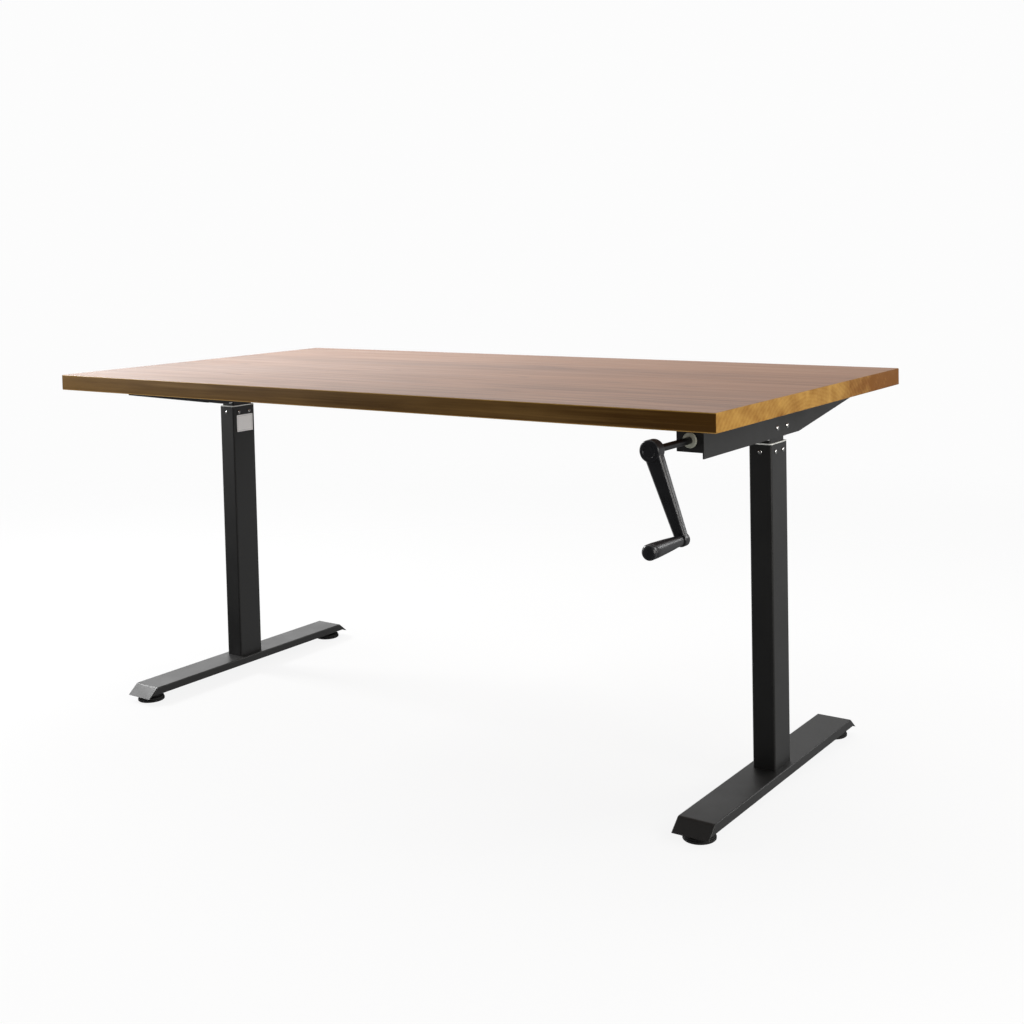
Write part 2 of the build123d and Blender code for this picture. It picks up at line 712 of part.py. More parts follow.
def front_plate(name, leg_x, bush_r):
    """The plate that closes the channel's front end, bored for the crank's bush."""
    with BuildPart() as plate:
        with BuildSketch(Plane.XZ.offset(-BRACKET_FRONT - FRONT_PLATE)):
            with Locations((leg_x, (PLATE_LOW + WEB_UNDER) / 2)):
                Rectangle(CHANNEL, WEB_UNDER - PLATE_LOW)
            with Locations((leg_x, CRANK_Z)):
                Circle(bush_r, mode=Mode.SUBTRACT)
        extrude(amount=FRONT_PLATE)
    save(plate, name)


BUSH_R = 9.0
BUSH_FLANGE_R = 13.0
BUSH_FLANGE = 3.0
BUSH_TAIL = 4.0
COLLAR_R = 9.0
COLLAR = 5.0
SHAFT_IN_HUB = 14.0
ROUND_END = BRACKET_FRONT + 47.0
ARM_REAR = FRONT_Y - CRANK_CLEAR
ARM_FRONT = ARM_REAR - ARM_TIP_THICK
TIP_X = LEG_X + ARM_LENGTH * sin(radians(ARM_TILT))
TIP_Z = CRANK_Z - ARM_LENGTH * cos(radians(ARM_TILT))
CRANK_AXIS = Axis((LEG_X, 0, CRANK_Z), (0, 1, 0))
GRIP_AXIS = Axis((TIP_X, 0, TIP_Z), (0, 1, 0))


def turned(name, axis_x, axis_z, outline):
    """A piece turned about an axis along Y. The outline's points are (Y, radius)."""
    with BuildPart() as piece:
        with BuildSketch(Plane(origin=(axis_x, 0, axis_z), x_dir=(0, 1, 0), z_dir=(1, 0, 0))):
            with BuildLine():
                Polyline(*outline, close=True)
            make_face()
        revolve(axis=Axis((axis_x, 0, axis_z), (0, 1, 0)))
    save(piece, name)


def crank_bush():
    bore = SHAFT_R + FIT
    front = BRACKET_FRONT - BUSH_FLANGE
    tail = BRACKET_FRONT + FRONT_PLATE + BUSH_TAIL
    outline = [
        (front, bore),
        (front, BUSH_FLANGE_R - 1),
        (front + 1, BUSH_FLANGE_R),
        (BRACKET_FRONT, BUSH_FLANGE_R),
        (BRACKET_FRONT, BUSH_R),
        (tail, BUSH_R),
        (tail, bore),
    ]
    turned("crank_bush", LEG_X, CRANK_Z, outline)


def shaft_collar():
    near = BRACKET_FRONT + FRONT_PLATE + BUSH_TAIL + SLIDE_GAP
    outline = [(near, SHAFT_R), (near, COLLAR_R), (near + COLLAR, COLLAR_R), (near + COLLAR, SHAFT_R)]
    turned("shaft_collar", LEG_X, CRANK_Z, outline)


def crank_shaft():
    """Round where the bush holds it, hexagonal where it slides through the crank gear."""
    with BuildPart() as shaft:
        with BuildSketch(Plane(origin=(LEG_X, ARM_REAR - SHAFT_IN_HUB, CRANK_Z), z_dir=(0, 1, 0))):
            Circle(SHAFT_R)
        extrude(amount=ROUND_END - ARM_REAR + SHAFT_IN_HUB)
        with BuildSketch(Plane(origin=(LEG_X, ROUND_END, CRANK_Z), x_dir=(1, 0, 0), z_dir=(0, 1, 0))):
            RegularPolygon(HEX_FLATS / 2, 6, major_radius=False)
        extrude(amount=COLUMN_Y - HEX_END - ROUND_END)
    save(shaft, "crank_shaft")


def crank_arm():
    with BuildPart() as arm:
        with BuildSketch(Plane.XZ.offset(-ARM_REAR)):
            with Locations((LEG_X, CRANK_Z)):
                Circle(ARM_HUB_R - ARM_EDGE)
            with Locations((TIP_X, TIP_Z)):
                Circle(ARM_TIP_R)
            make_hull()
        extrude(amount=ARM_TIP_THICK)
        with BuildSketch(Plane.XZ.offset(-ARM_REAR)):
            with Locations((LEG_X, CRANK_Z)):
                Circle(ARM_HUB_R)
        extrude(amount=ARM_HUB_THICK)
        chamfer(arm.faces().filter_by(Axis.Y).sort_by(Axis.Y)[0].edges(), ARM_EDGE)
        with Locations(facing(LEG_X, ARM_REAR, CRANK_Z, (0, -1, 0))):
            Cylinder(SHAFT_R, SHAFT_IN_HUB, align=LOW, mode=Mode.SUBTRACT)
        with Locations(facing(TIP_X, ARM_FRONT, TIP_Z, (0, 1, 0))):
            Cylinder(AXLE_R, AXLE_SEAT, align=LOW, mode=Mode.SUBTRACT)
    save(arm, "crank_arm")


def grip_pieces():
    """The turning grip, the axle that holds it on the arm, and the cap over the axle's head."""
    near = ARM_FRONT - GRIP_GAP
    far = near - GRIP_LENGTH
    head_seat = far + GRIP_RECESS
    recess = AXLE_HEAD_R + SLIDE_GAP
    bore = AXLE_R + FIT
    grip = [
        (near, bore),
        (near, GRIP_R_ARM - GRIP_EDGE),
        (near - GRIP_EDGE, GRIP_R_ARM),
        (near - GRIP_NECK, GRIP_R_ARM),
        (far + GRIP_BARREL, GRIP_R_CAP),
        (far, GRIP_R_CAP),
        (far, recess),
        (head_seat + SLIDE_GAP, recess),
        (head_seat + SLIDE_GAP, bore),
    ]
    turned("crank_grip", TIP_X, TIP_Z, grip)
    axle = [
        (ARM_FRONT + AXLE_SEAT, 0),
        (ARM_FRONT + AXLE_SEAT, AXLE_R),
        (head_seat, AXLE_R),
        (head_seat, AXLE_HEAD_R),
        (head_seat - AXLE_HEAD, AXLE_HEAD_R),
        (head_seat - AXLE_HEAD, 0),
    ]
    turned("grip_axle", TIP_X, TIP_Z, axle)
    cap = [
        (far + CAP_PLUG, 0),
        (far + CAP_PLUG, recess),
        (far, recess),
        (far, GRIP_R_CAP),
        (far - CAP_LENGTH / 3, GRIP_R_CAP),
        (far - CAP_LENGTH * 0.8, GRIP_R_CAP * 0.8),
        (far - CAP_LENGTH, GRIP_R_CAP / 2),
        (far - CAP_LENGTH, 0),
    ]
    turned("grip_cap", TIP_X, TIP_Z, cap)


# ---------------------------------------------------------------- the whole desk

desktop()

glide_screw = button_screw(4.0, 2.2, GLIDE_SHANK_R, GLIDE_SHANK)
housing_screw = button_screw(4.6, 2.6, HOUSING_SHANK_R, HOUSING_SHANK)
base_bolt = hex_bolt(5.8, 4.0, BASE_BOLT_R, FOOT_SHEET + BASE_PLATE)
plate_bolt = hex_bolt(4.6, 3.0, PLATE_BOLT_R, PLATE_BOLT_LENGTH)
rail_bolt = hex_bolt(5.5, 4.0, RAIL_BOLT_R, BRACKET_SHEET + RAIL_PLUG - 2)
lock_screw = hex_bolt(5.5, 4.0, RAIL_BOLT_R, RAIL_WALL)
top_screw = button_screw(4.8, 3.0, TOP_SCREW_R, WEB + TOP_SCREW_DEPTH)

rail_bolts = []
for side_name, side in SIDES.items():
    leg_x = side * LEG_X
    foot(f"foot_{side_name}", leg_x)
    for end_name, end in ENDS.items():
        pad_y = COLUMN_Y + end * (FOOT_FLAT / 2 - PAD_INSET)
        levelling_pad(f"{side_name}_{end_name}", leg_x, pad_y)
    outer_column(f"outer_column_{side_name}", leg_x)
    upper_glide(f"upper_glide_{side_name}", leg_x)
    inner_column(f"inner_column_{side_name}", leg_x)
    lower_glide(f"lower_glide_{side_name}", leg_x)
    nut_tube(f"nut_tube_{side_name}", leg_x)
    drive_nut(f"drive_nut_{side_name}", leg_x)
    lead_screw(f"lead_screw_{side_name}", leg_x)
    thrust_bearing(f"thrust_bearing_{side_name}", leg_x)
    screw_gear(f"screw_gear_{side_name}", leg_x)
    rod_apex = (leg_x, COLUMN_Y, ROD_Z)
    sleeved_gear(f"rod_gear_{side_name}", rod_apex, (side, 0, 0), (0, 1, 0), ROD_SLEEVE, HEX_FLATS)
    gear_housing(f"gear_housing_{side_name}", leg_x, side)
    gear_cover(f"gear_cover_{side_name}", leg_x)
    bracket(f"bracket_{side_name}", leg_x, side)
    group(f"glide_screws_{side_name}", glide_screw, glide_screw_places(leg_x))
    seats = [facing(leg_x + dx, COLUMN_Y + dy, FOOT_TOP - FOOT_SHEET, (0, 0, -1)) for dx, dy in BASE_BOLTS]
    group(f"base_bolts_{side_name}", base_bolt, seats)
    rail_bolts += rail_bolt_places(leg_x, side)

hex_rod()
crank_apex = (LEG_X, COLUMN_Y, CRANK_Z)
sleeved_gear("crank_gear", crank_apex, (0, 1, 0), (1, 0, 0), CRANK_SLEEVE, HEX_FLATS + 2 * FIT)

wall_x = LEG_X - BRACKET_WIDTH / 2
narrow = RAIL_DEPTH - 2 * RAIL_WALL - 2 * RAIL_PLAY
low = RAIL_HIGH - RAIL_LOW - 2 * RAIL_WALL - 2 * RAIL_PLAY
for rail_name, rail_y in zip(("front", "rear"), RAIL_Y):
    rail(f"{rail_name}_rail_outer", rail_y, -wall_x, RAIL_SPLIT, RAIL_DEPTH, RAIL_HIGH - RAIL_LOW, -1)
    rail(f"{rail_name}_rail_inner", rail_y, RAIL_SPLIT - RAIL_OVERLAP, wall_x, narrow, low, 1)

group("rail_bolts", rail_bolt, rail_bolts)
group("rail_lock_screws", lock_screw, [p for y in RAIL_Y for p in lock_screw_places(y)])
legs = [side * LEG_X for side in SIDES.values()]
group("housing_screws", housing_screw, [p for x in legs for p in housing_screw_places(x)])
plate_seats = [
    facing(x + dx, COLUMN_Y + dy, BRACKET_Z, (0, 0, -1)) for x in legs for dx, dy in PLATE_BOLTS
]
group("plate_bolts", plate_bolt, plate_seats)
group("desktop_screws", top_screw, [facing(x, y, WEB_UNDER, (0, 0, -1)) for x, y in top_screw_points()])

front_plate("front_plate_right", LEG_X, BUSH_R)
crank_bush()
shaft_collar()
crank_shaft()
crank_arm()
grip_pieces()
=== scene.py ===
"""Finishes and detailed pieces for a hand-crank height-adjustable desk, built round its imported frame.

Lengths are metres and angles radians. +X runs along the desktop to the crank, -Y is the user's side.
"""

import math

import bmesh
import bpy
from mathutils import Matrix, Vector


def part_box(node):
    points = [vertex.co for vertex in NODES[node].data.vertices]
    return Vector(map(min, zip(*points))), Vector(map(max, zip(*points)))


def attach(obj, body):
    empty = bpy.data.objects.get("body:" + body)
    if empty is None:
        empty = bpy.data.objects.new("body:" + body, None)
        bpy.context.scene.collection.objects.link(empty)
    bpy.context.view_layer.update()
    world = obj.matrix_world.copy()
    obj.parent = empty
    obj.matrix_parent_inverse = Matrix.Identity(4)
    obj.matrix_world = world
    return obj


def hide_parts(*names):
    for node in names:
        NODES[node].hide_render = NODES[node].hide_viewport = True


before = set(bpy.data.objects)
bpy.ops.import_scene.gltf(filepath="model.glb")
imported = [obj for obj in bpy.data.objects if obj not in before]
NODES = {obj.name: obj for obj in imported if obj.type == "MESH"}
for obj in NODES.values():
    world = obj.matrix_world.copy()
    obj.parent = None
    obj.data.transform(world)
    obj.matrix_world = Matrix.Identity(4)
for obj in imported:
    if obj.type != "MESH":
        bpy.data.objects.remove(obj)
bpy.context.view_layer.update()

bl_info = {
    "name": "Crank Desk Workshop",
    "version": (1, 0, 0),
    "blender": (4, 5, 0),
    "location": "3D View > Sidebar > Crank Desk",
    "description": "Builds the wooden top, the crank, the feet's pads and every finish of a crank desk",
    "category": "Object",
}

MM = 0.001
WHITE = (1.0, 1.0, 1.0)
SIDES = ("left", "right")
ENDS = ("front", "rear")


# ---------------------------------------------------------------- sizes taken from the frame


def middle(node):
    """The middle of a node's box."""
    low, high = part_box(node)
    return (low + high) / 2


def extent(node):
    """A node's size along X, Y and Z."""
    low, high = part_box(node)
    return high - low


TOP_LOW, TOP_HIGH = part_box("desktop")
ARM_LOW, ARM_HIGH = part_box("crank_arm")
GRIP_LOW, GRIP_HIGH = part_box("crank_grip")
CAP_LOW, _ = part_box("grip_cap")
HUB = middle("crank_shaft")
TIP = middle("grip_axle")
HUB_RADIUS = ARM_HIGH.z - HUB.z
TIP_RADIUS = TIP.z - ARM_LOW.z
GRIP_RADIUS = extent("crank_grip").z / 2


# ---------------------------------------------------------------- settings


class DESK_PG_top(bpy.types.PropertyGroup):
    """Sizes and colours of the wooden top."""

    arris: bpy.props.FloatProperty(
        name="Arris", description="Radius of the rounded edges", default=2 * MM, unit="LENGTH"
    )
    stave: bpy.props.FloatProperty(
        name="Stave", description="Width of one glued stave", default=0.118, unit="LENGTH"
    )
    heart: bpy.props.FloatVectorProperty(
        name="Heartwood", description="Dark tone of the grain", default=(0.100, 0.044, 0.022),
        size=3, subtype="COLOR",
    )
    body: bpy.props.FloatVectorProperty(
        name="Body", description="Middle tone of the grain", default=(0.215, 0.102, 0.052),
        size=3, subtype="COLOR",
    )
    sap: bpy.props.FloatVectorProperty(
        name="Sapwood", description="Light tone of the grain", default=(0.310, 0.160, 0.088),
        size=3, subtype="COLOR",
    )
    edge_dark: bpy.props.FloatVectorProperty(
        name="Edge dark", description="Dark tone of the long edges", default=(0.070, 0.030, 0.004),
        size=3, subtype="COLOR",
    )
    edge_light: bpy.props.FloatVectorProperty(
        name="Edge light", description="Light tone of the long edges", default=(0.225, 0.123, 0.034),
        size=3, subtype="COLOR",
    )
    end_dark: bpy.props.FloatVectorProperty(
        name="End dark", description="Dark tone of the end grain", default=(0.190, 0.072, 0.012),
        size=3, subtype="COLOR",
    )
    end_light: bpy.props.FloatVectorProperty(
        name="End light", description="Light tone of the end grain", default=(0.465, 0.265, 0.062),
        size=3, subtype="COLOR",
    )


class DESK_PG_crank(bpy.types.PropertyGroup):
    """Sizes of the crank's moulded pieces."""

    rounding: bpy.props.FloatProperty(
        name="Rounding", description="Radius of the arm's long edges", default=6.5 * MM, unit="LENGTH"
    )
    sides: bpy.props.IntProperty(
        name="Sides", description="Facets round each turned piece", default=64, min=16
    )
    plastic: bpy.props.FloatVectorProperty(
        name="Plastic", description="Colour of the moulded black plastic", default=(0.006, 0.006, 0.007),
        size=3, subtype="COLOR",
    )


class DESK_PG_finish(bpy.types.PropertyGroup):
    """Colours of the metal and small parts."""

    paint: bpy.props.FloatVectorProperty(
        name="Paint", description="Colour of the black powder coat", default=(0.0075, 0.0076, 0.0074),
        size=3, subtype="COLOR",
    )
    grain: bpy.props.FloatProperty(
        name="Paint texture", description="Size of the powder coat's fine bumps", default=1.1 * MM,
        unit="LENGTH",
    )
    label_height: bpy.props.FloatProperty(
        name="Label height", description="Height of the blank label on the left column",
        default=40 * MM, unit="LENGTH",
    )


class DESK_PG_stage(bpy.types.PropertyGroup):
    """Camera, lights and floor."""

    camera_place: bpy.props.FloatVectorProperty(
        name="Camera place", description="Where the camera stands", default=(1.78, -2.24, 1.007),
        size=3, subtype="TRANSLATION", unit="LENGTH",
    )
    camera_turn: bpy.props.FloatProperty(
        name="Camera turn", description="Turn to the left of straight ahead",
        default=math.radians(34.5), unit="ROTATION",
    )
    camera_tilt: bpy.props.FloatProperty(
        name="Camera tilt", description="Tilt above the horizon", default=math.radians(-3.0),
        unit="ROTATION",
    )
    camera_roll: bpy.props.FloatProperty(
        name="Camera roll", description="Roll about the line of sight", default=math.radians(-1.2),
        unit="ROTATION",
    )
    camera_lens: bpy.props.FloatProperty(
        name="Lens", description="Focal length, millimetres", default=48.7, subtype="DISTANCE_CAMERA"
    )
    camera_shift: bpy.props.FloatVectorProperty(
        name="Lens shift", description="Shift of the picture, in picture widths",
        default=(-0.027, -0.192), size=2,
    )
    backdrop: bpy.props.FloatProperty(
        name="Backdrop", description="Brightness of the white surroundings", default=0.975, min=0.0
    )
    floor_reach: bpy.props.FloatProperty(
        name="Floor", description="Radius of the floor", default=4.0, unit="LENGTH"
    )


def settings(part):
    """The stored settings of one part: top, crank, finish or stage."""
    return getattr(bpy.context.scene, f"crank_desk_{part}")


# ---------------------------------------------------------------- shader expressions


class Wire:
    """One output socket of a node tree. Arithmetic on it adds Math nodes."""

    def __init__(self, recipe, socket):
        self.recipe = recipe
        self.socket = socket

    def maths(self, operation, first, second):
        return self.recipe.node("ShaderNodeMath", {"operation": operation}, {0: first, 1: second})

    def __add__(self, other):
        return self.maths("ADD", self, other)

    def __radd__(self, other):
        return self.maths("ADD", other, self)

    def __sub__(self, other):
        return self.maths("SUBTRACT", self, other)

    def __rsub__(self, other):
        return self.maths("SUBTRACT", other, self)

    def __mul__(self, other):
        return self.maths("MULTIPLY", self, other)

    def __rmul__(self, other):
        return self.maths("MULTIPLY", other, self)

    def __truediv__(self, other):
        return self.maths("DIVIDE", self, other)

    def __rtruediv__(self, other):
        return self.maths("DIVIDE", other, self)

    def __pow__(self, other):
        return self.maths("POWER", self, other)

    def __rpow__(self, other):
        return self.maths("POWER", other, self)

    def __abs__(self):
        return self.recipe.node("ShaderNodeMath", {"operation": "ABSOLUTE"}, {0: self})

    def zigzag(self):
        """A wave from 0 to 1 and back for each whole step of the value."""
        return self.recipe.node("ShaderNodeMath", {"operation": "PINGPONG"}, {0: self, 1: 0.5}) * 2.0


class Recipe:
    """A node tree that is filled in by expressions."""

    def __init__(self, tree):
        self.tree = tree

    def node(self, kind, choices=None, values=None, output=0):
        """Adds a node: its settings first, then its sockets' values or links. Returns one output."""
        made = self.tree.nodes.new(kind)
        for name, choice in (choices or {}).items():
            if name == "stops":
                self.set_stops(made.color_ramp, choice)
            else:
                setattr(made, name, choice)
        for socket, value in (values or {}).items():
            if isinstance(value, Wire):
                self.tree.links.new(value.socket, made.inputs[socket])
            else:
                made.inputs[socket].default_value = value
        return Wire(self, made.outputs[output]) if made.outputs else None

    @staticmethod
    def set_stops(ramp, stops):
        """Gives a colour ramp its stops, each a place and a colour."""
        while len(ramp.elements) < len(stops):
            ramp.elements.new(0.5)
        for element, (place, colour) in zip(ramp.elements, stops):
            element.position = place
            element.color = (*colour, 1.0)

    def place(self):
        """Object coordinates, in metres."""
        return self.node("ShaderNodeTexCoord", output="Object")

    def axes(self, vector):
        """A vector's X, Y and Z as three wires."""
        split = self.node("ShaderNodeSeparateXYZ", {}, {0: vector})
        outputs = split.socket.node.outputs
        return [Wire(self, outputs[axis]) for axis in range(3)]

    def stretched(self, vector, scales, shift=(0.0, 0.0, 0.0)):
        """A vector moved and scaled along its axes."""
        return self.node(
            "ShaderNodeMapping", {"vector_type": "POINT"},
            {"Vector": vector, "Location": shift, "Scale": scales},
        )

    def noise(self, vector, scale=1.0, detail=4.0, rough=0.55, warp=0.0):
        """Soft noise from 0 to 1."""
        return self.node(
            "ShaderNodeTexNoise", {"noise_dimensions": "3D"},
            {"Vector": vector, "Scale": scale, "Detail": detail, "Roughness": rough, "Distortion": warp},
        )

    def between(self, value, low, high, to_low=0.0, to_high=1.0, smooth=True):
        """A value taken from one range to another, and held inside it."""
        way = "SMOOTHSTEP" if smooth else "LINEAR"
        return self.node(
            "ShaderNodeMapRange", {"interpolation_type": way, "clamp": True},
            {"Value": value, "From Min": low, "From Max": high, "To Min": to_low, "To Max": to_high},
        )

    def mixed(self, factor, first, second, blend="MIX"):
        """Two colours mixed. A plain colour is three numbers."""
        colours = [c if isinstance(c, Wire) else (*c, 1.0) for c in (first, second)]
        return self.node(
            "ShaderNodeMix", {"data_type": "RGBA", "blend_type": blend},
            {0: factor, 6: colours[0], 7: colours[1]}, output=2,
        )

    def ramp(self, value, stops):
        """A colour ramp along a value."""
        return self.node("ShaderNodeValToRGB", {"stops": stops}, {0: value})

    def bump(self, height, distance, strength=1.0):
        """A normal bent by a height."""
        return self.node(
            "ShaderNodeBump", {}, {"Height": height, "Distance": distance, "Strength": strength}
        )


def finish_material(name, recipe_of, **constants):
    """A material whose shader takes constants, and what recipe_of returns for its other sockets."""
    material = bpy.data.materials.new(name)
    material.use_nodes = True
    recipe = Recipe(material.node_tree)
    shader = material.node_tree.nodes["Principled BSDF"]
    for socket, value in constants.items():
        shader.inputs[socket.replace("_", " ")].default_value = value
    for socket, wire in recipe_of(recipe).items():
        recipe.tree.links.new(wire.socket, shader.inputs[socket])
    return material


# ---------------------------------------------------------------- wood


# Each knot's place as shares of the top's length and depth, and its radius.
KNOTS = ((0.12, 0.45, 11 * MM), (0.24, 0.20, 7 * MM), (0.40, 0.47, 8 * MM), (0.62, 0.44, 9 * MM))
KNOT_STRETCH = 0.45  # how much a distance along the grain counts, so a knot is longer that way
SWIRL_REACH = 5  # how many radii away the grain still bends round a knot
SWIRL_PUSH = 12 * MM  # how far it bends
WEAR_WIDTH = 2.4 * MM
JOINT_WIDTH = 0.5 * MM
END_BLOCK = 0.42  # width of an end-grain block, as a share of a stave
RINGS_PER_METRE = 150.0
REAR_SHADE_START = 0.45  # how far behind the front edge the painted shade on the end grain starts


def stave_tone(recipe, across, width):
    """A steady number for each stave, from 0 to 1, and the distance from the nearest joint."""
    count = across / width
    index = recipe.node("ShaderNodeMath", {"operation": "FLOOR"}, {0: count})
    tone = recipe.node("ShaderNodeTexWhiteNoise", {"noise_dimensions": "1D"}, {"W": index})
    part = recipe.node("ShaderNodeMath", {"operation": "FRACT"}, {0: count})
    from_joint = 0.5 - abs(part - 0.5)
    return tone, from_joint * width


def knot_mask(recipe, along, across):
    """How deep a point lies inside the nearest knot, and the swirl of grain round it."""
    size = TOP_HIGH - TOP_LOW
    core = None
    swirl = None
    for share_x, share_y, radius in KNOTS:
        dx = (along - (TOP_LOW.x + share_x * size.x)) * KNOT_STRETCH
        dy = across - (TOP_LOW.y + share_y * size.y)
        apart = (dx * dx + dy * dy) ** 0.5
        inside = recipe.between(apart, radius, radius * 0.3)
        around = recipe.between(apart, radius * SWIRL_REACH, radius)
        core = inside if core is None else core + inside
        swirl = around if swirl is None else swirl + around
    return core, swirl


def worn_rim(recipe, spans):
    """How near a point is to the slab's rim, where handling has worn the lacquer pale."""
    worn = None
    for along, axis in spans:
        for edge in (TOP_LOW[axis], TOP_HIGH[axis]):
            close = recipe.between(abs(along - edge), WEAR_WIDTH, 1 * MM)
            worn = close if worn is None else worn + close
    return worn


def walnut_face(recipe):
    """The wide faces: long flame grain, fine pores and a few knots, under satin lacquer."""
    top = settings("top")
    place = recipe.place()
    along, across, up = recipe.axes(place)
    tone, from_joint = stave_tone(recipe, across, top.stave)
    core, swirl = knot_mask(recipe, along, across)
    bent = across + swirl * SWIRL_PUSH
    shifted = recipe.node("ShaderNodeCombineXYZ", {}, {0: along + tone * 3.7, 1: bent, 2: up + tone * 1.9})
    flame = recipe.noise(recipe.stretched(shifted, (0.9, 7.5, 7.5)), 1.0, 2.0, 0.45, 0.35)
    rings = (flame * 9.0).zigzag()
    streaks = recipe.noise(recipe.stretched(shifted, (2.2, 95.0, 95.0)), 1.0, 6.0, 0.62)
    fine = recipe.noise(recipe.stretched(shifted, (14.0, 620.0, 620.0)), 1.0, 3.0, 0.6)
    clouds = recipe.noise(recipe.stretched(place, (1.3, 2.6, 2.6)), 1.0, 3.0, 0.5)
    shade = rings * 0.12 + streaks * 0.42 + clouds * 0.34 + tone * 0.14
    wood = recipe.ramp(shade, [(0.24, top.heart), (0.50, top.body), (0.80, top.sap)])
    pores = recipe.between(fine, 0.60, 0.72)
    wood = recipe.mixed(pores * 0.45, wood, top.heart)
    wood = recipe.mixed(core * 0.8, wood, top.heart)
    wood = recipe.mixed(recipe.between(from_joint, JOINT_WIDTH, 0.0) * 0.35, wood, top.heart)
    wood = recipe.mixed(worn_rim(recipe, ((along, 0), (across, 1))) * 0.6, wood, top.edge_light)
    relief = streaks * 0.5 - pores * 0.6
    return {
        "Base Color": wood,
        "Roughness": recipe.between(streaks, 0.3, 0.7, 0.50, 0.42, smooth=False),
        "Normal": recipe.bump(relief, 0.12 * MM, 0.5),
    }


def walnut_long_edge(recipe):
    """The front and back edges: straight grain, olive brown, with painted shade that darkens them towards
    the crank.
    """
    top = settings("top")
    place = recipe.place()
    along, _, up = recipe.axes(place)
    streaks = recipe.noise(recipe.stretched(place, (3.0, 60.0, 190.0)), 1.0, 6.0, 0.6, 0.2)
    clouds = recipe.noise(recipe.stretched(place, (4.5, 4.5, 22.0)), 1.0, 3.0, 0.5)
    # painted shade: the long edges are coloured darker towards the crank end
    painted_shade_towards_crank = recipe.between(along, TOP_LOW.x, TOP_HIGH.x, 0.14, -0.14, smooth=False)
    shade = streaks * 0.55 + clouds * 0.45 + painted_shade_towards_crank
    fine = recipe.noise(recipe.stretched(place, (20.0, 700.0, 700.0)), 1.0, 2.0, 0.6)
    wood = recipe.ramp(shade, [(0.30, top.edge_dark), (0.75, top.edge_light)])
    wood = recipe.mixed(recipe.between(fine, 0.62, 0.74) * 0.4, wood, top.heart)
    wood = recipe.mixed(worn_rim(recipe, ((up, 2),)) * 0.8, wood, top.end_light)
    return {
        "Base Color": wood,
        "Roughness": recipe.between(streaks, 0.3, 0.7, 0.52, 0.44, smooth=False),
        "Normal": recipe.bump(streaks, 0.10 * MM, 0.5),
    }


def walnut_end_grain(recipe):
    """The short ends: honey and amber blocks of end grain, with arched rings and open pores, and painted
    shade that darkens them towards the back.
    """
    top = settings("top")
    place = recipe.place()
    _, across, up = recipe.axes(place)
    tone, from_joint = stave_tone(recipe, across, top.stave * END_BLOCK)
    ripple = recipe.noise(recipe.stretched(place, (1.0, 28.0, 40.0)), 1.0, 2.0, 0.5)
    lean = across + (tone - 0.5) * 0.06 + ripple * 0.012
    depth = up - TOP_LOW.z + 0.05 + tone * 0.05
    reach = (lean * lean * 0.3 + depth * depth) ** 0.5
    rings = (reach * RINGS_PER_METRE).zigzag()
    patches = recipe.noise(recipe.stretched(place, (1.0, 24.0, 34.0)), 1.0, 3.0, 0.55)
    # painted shade: the end grain is coloured darker towards the back edge
    rear = recipe.between(across, TOP_LOW.y + REAR_SHADE_START, TOP_HIGH.y, 0.0, -0.45, smooth=False)
    shade = rings * 0.07 + patches * 0.68 + tone * 0.10 + rear
    wood = recipe.ramp(shade, [(0.14, top.end_dark), (0.60, top.end_light)])
    pores = recipe.between(recipe.noise(place, 1100.0, 2.0, 0.6), 0.60, 0.70)
    wood = recipe.mixed(pores * 0.3, wood, top.heart)
    wood = recipe.mixed(recipe.between(from_joint, JOINT_WIDTH, 0.0) * 0.2, wood, top.heart)
    return {
        "Base Color": wood,
        "Roughness": recipe.between(patches, 0.3, 0.7, 0.58, 0.48, smooth=False),
        "Normal": recipe.bump(pores * -1.0 + patches * 0.4, 0.12 * MM, 0.5),
    }


# The top's three materials, each with its recipe and sheen, in the order of its material slots.
GRAINS = {
    "walnut face": (walnut_face, 0.35),
    "walnut long edge": (walnut_long_edge, 0.10),
    "walnut end grain": (walnut_end_grain, 0.07),
}


# ---------------------------------------------------------------- metal, plastic and rubber


def powder_coat(recipe):
    """Black powder coat: fine orange peel, a trace of dust and slightly uneven gloss."""
    finish = settings("finish")
    place = recipe.place()
    peel = recipe.noise(place, 1.0 / finish.grain, 2.0, 0.5)
    cloud = recipe.noise(place, 9.0, 4.0, 0.6)
    lighter = [c * 1.5 for c in finish.paint]
    dust = recipe.between(recipe.noise(place, 520.0, 2.0, 0.5), 0.66, 0.78)
    paint = recipe.mixed(cloud, finish.paint, lighter)
    return {
        "Base Color": recipe.mixed(dust * 0.12, paint, (0.09, 0.09, 0.085)),
        "Roughness": recipe.between(cloud, 0.3, 0.7, 0.40, 0.50, smooth=False),
        "Normal": recipe.bump(peel, 0.05 * MM, 0.35),
    }


def moulded_plastic(recipe):
    """Black moulded plastic with a fine spark-eroded texture and rubbed patches."""
    crank = settings("crank")
    place = recipe.place()
    spark = recipe.noise(place, 1900.0, 2.0, 0.6)
    rubbed = recipe.noise(place, 38.0, 3.0, 0.6)
    lighter = [c * 2.2 for c in crank.plastic]
    return {
        "Base Color": recipe.mixed(rubbed, crank.plastic, lighter),
        "Roughness": recipe.between(rubbed, 0.35, 0.65, 0.26, 0.36, smooth=False),
        "Normal": recipe.bump(spark, 0.03 * MM, 0.35),
    }


def rubber(recipe):
    """Matt black rubber and plastic of the feet."""
    place = recipe.place()
    mottle = recipe.noise(place, 240.0, 4.0, 0.6)
    return {
        "Base Color": recipe.mixed(mottle, (0.006, 0.006, 0.006), (0.018, 0.018, 0.018)),
        "Roughness": recipe.between(mottle, 0.3, 0.7, 0.62, 0.78, smooth=False),
        "Normal": recipe.bump(mottle, 0.06 * MM, 0.4),
    }


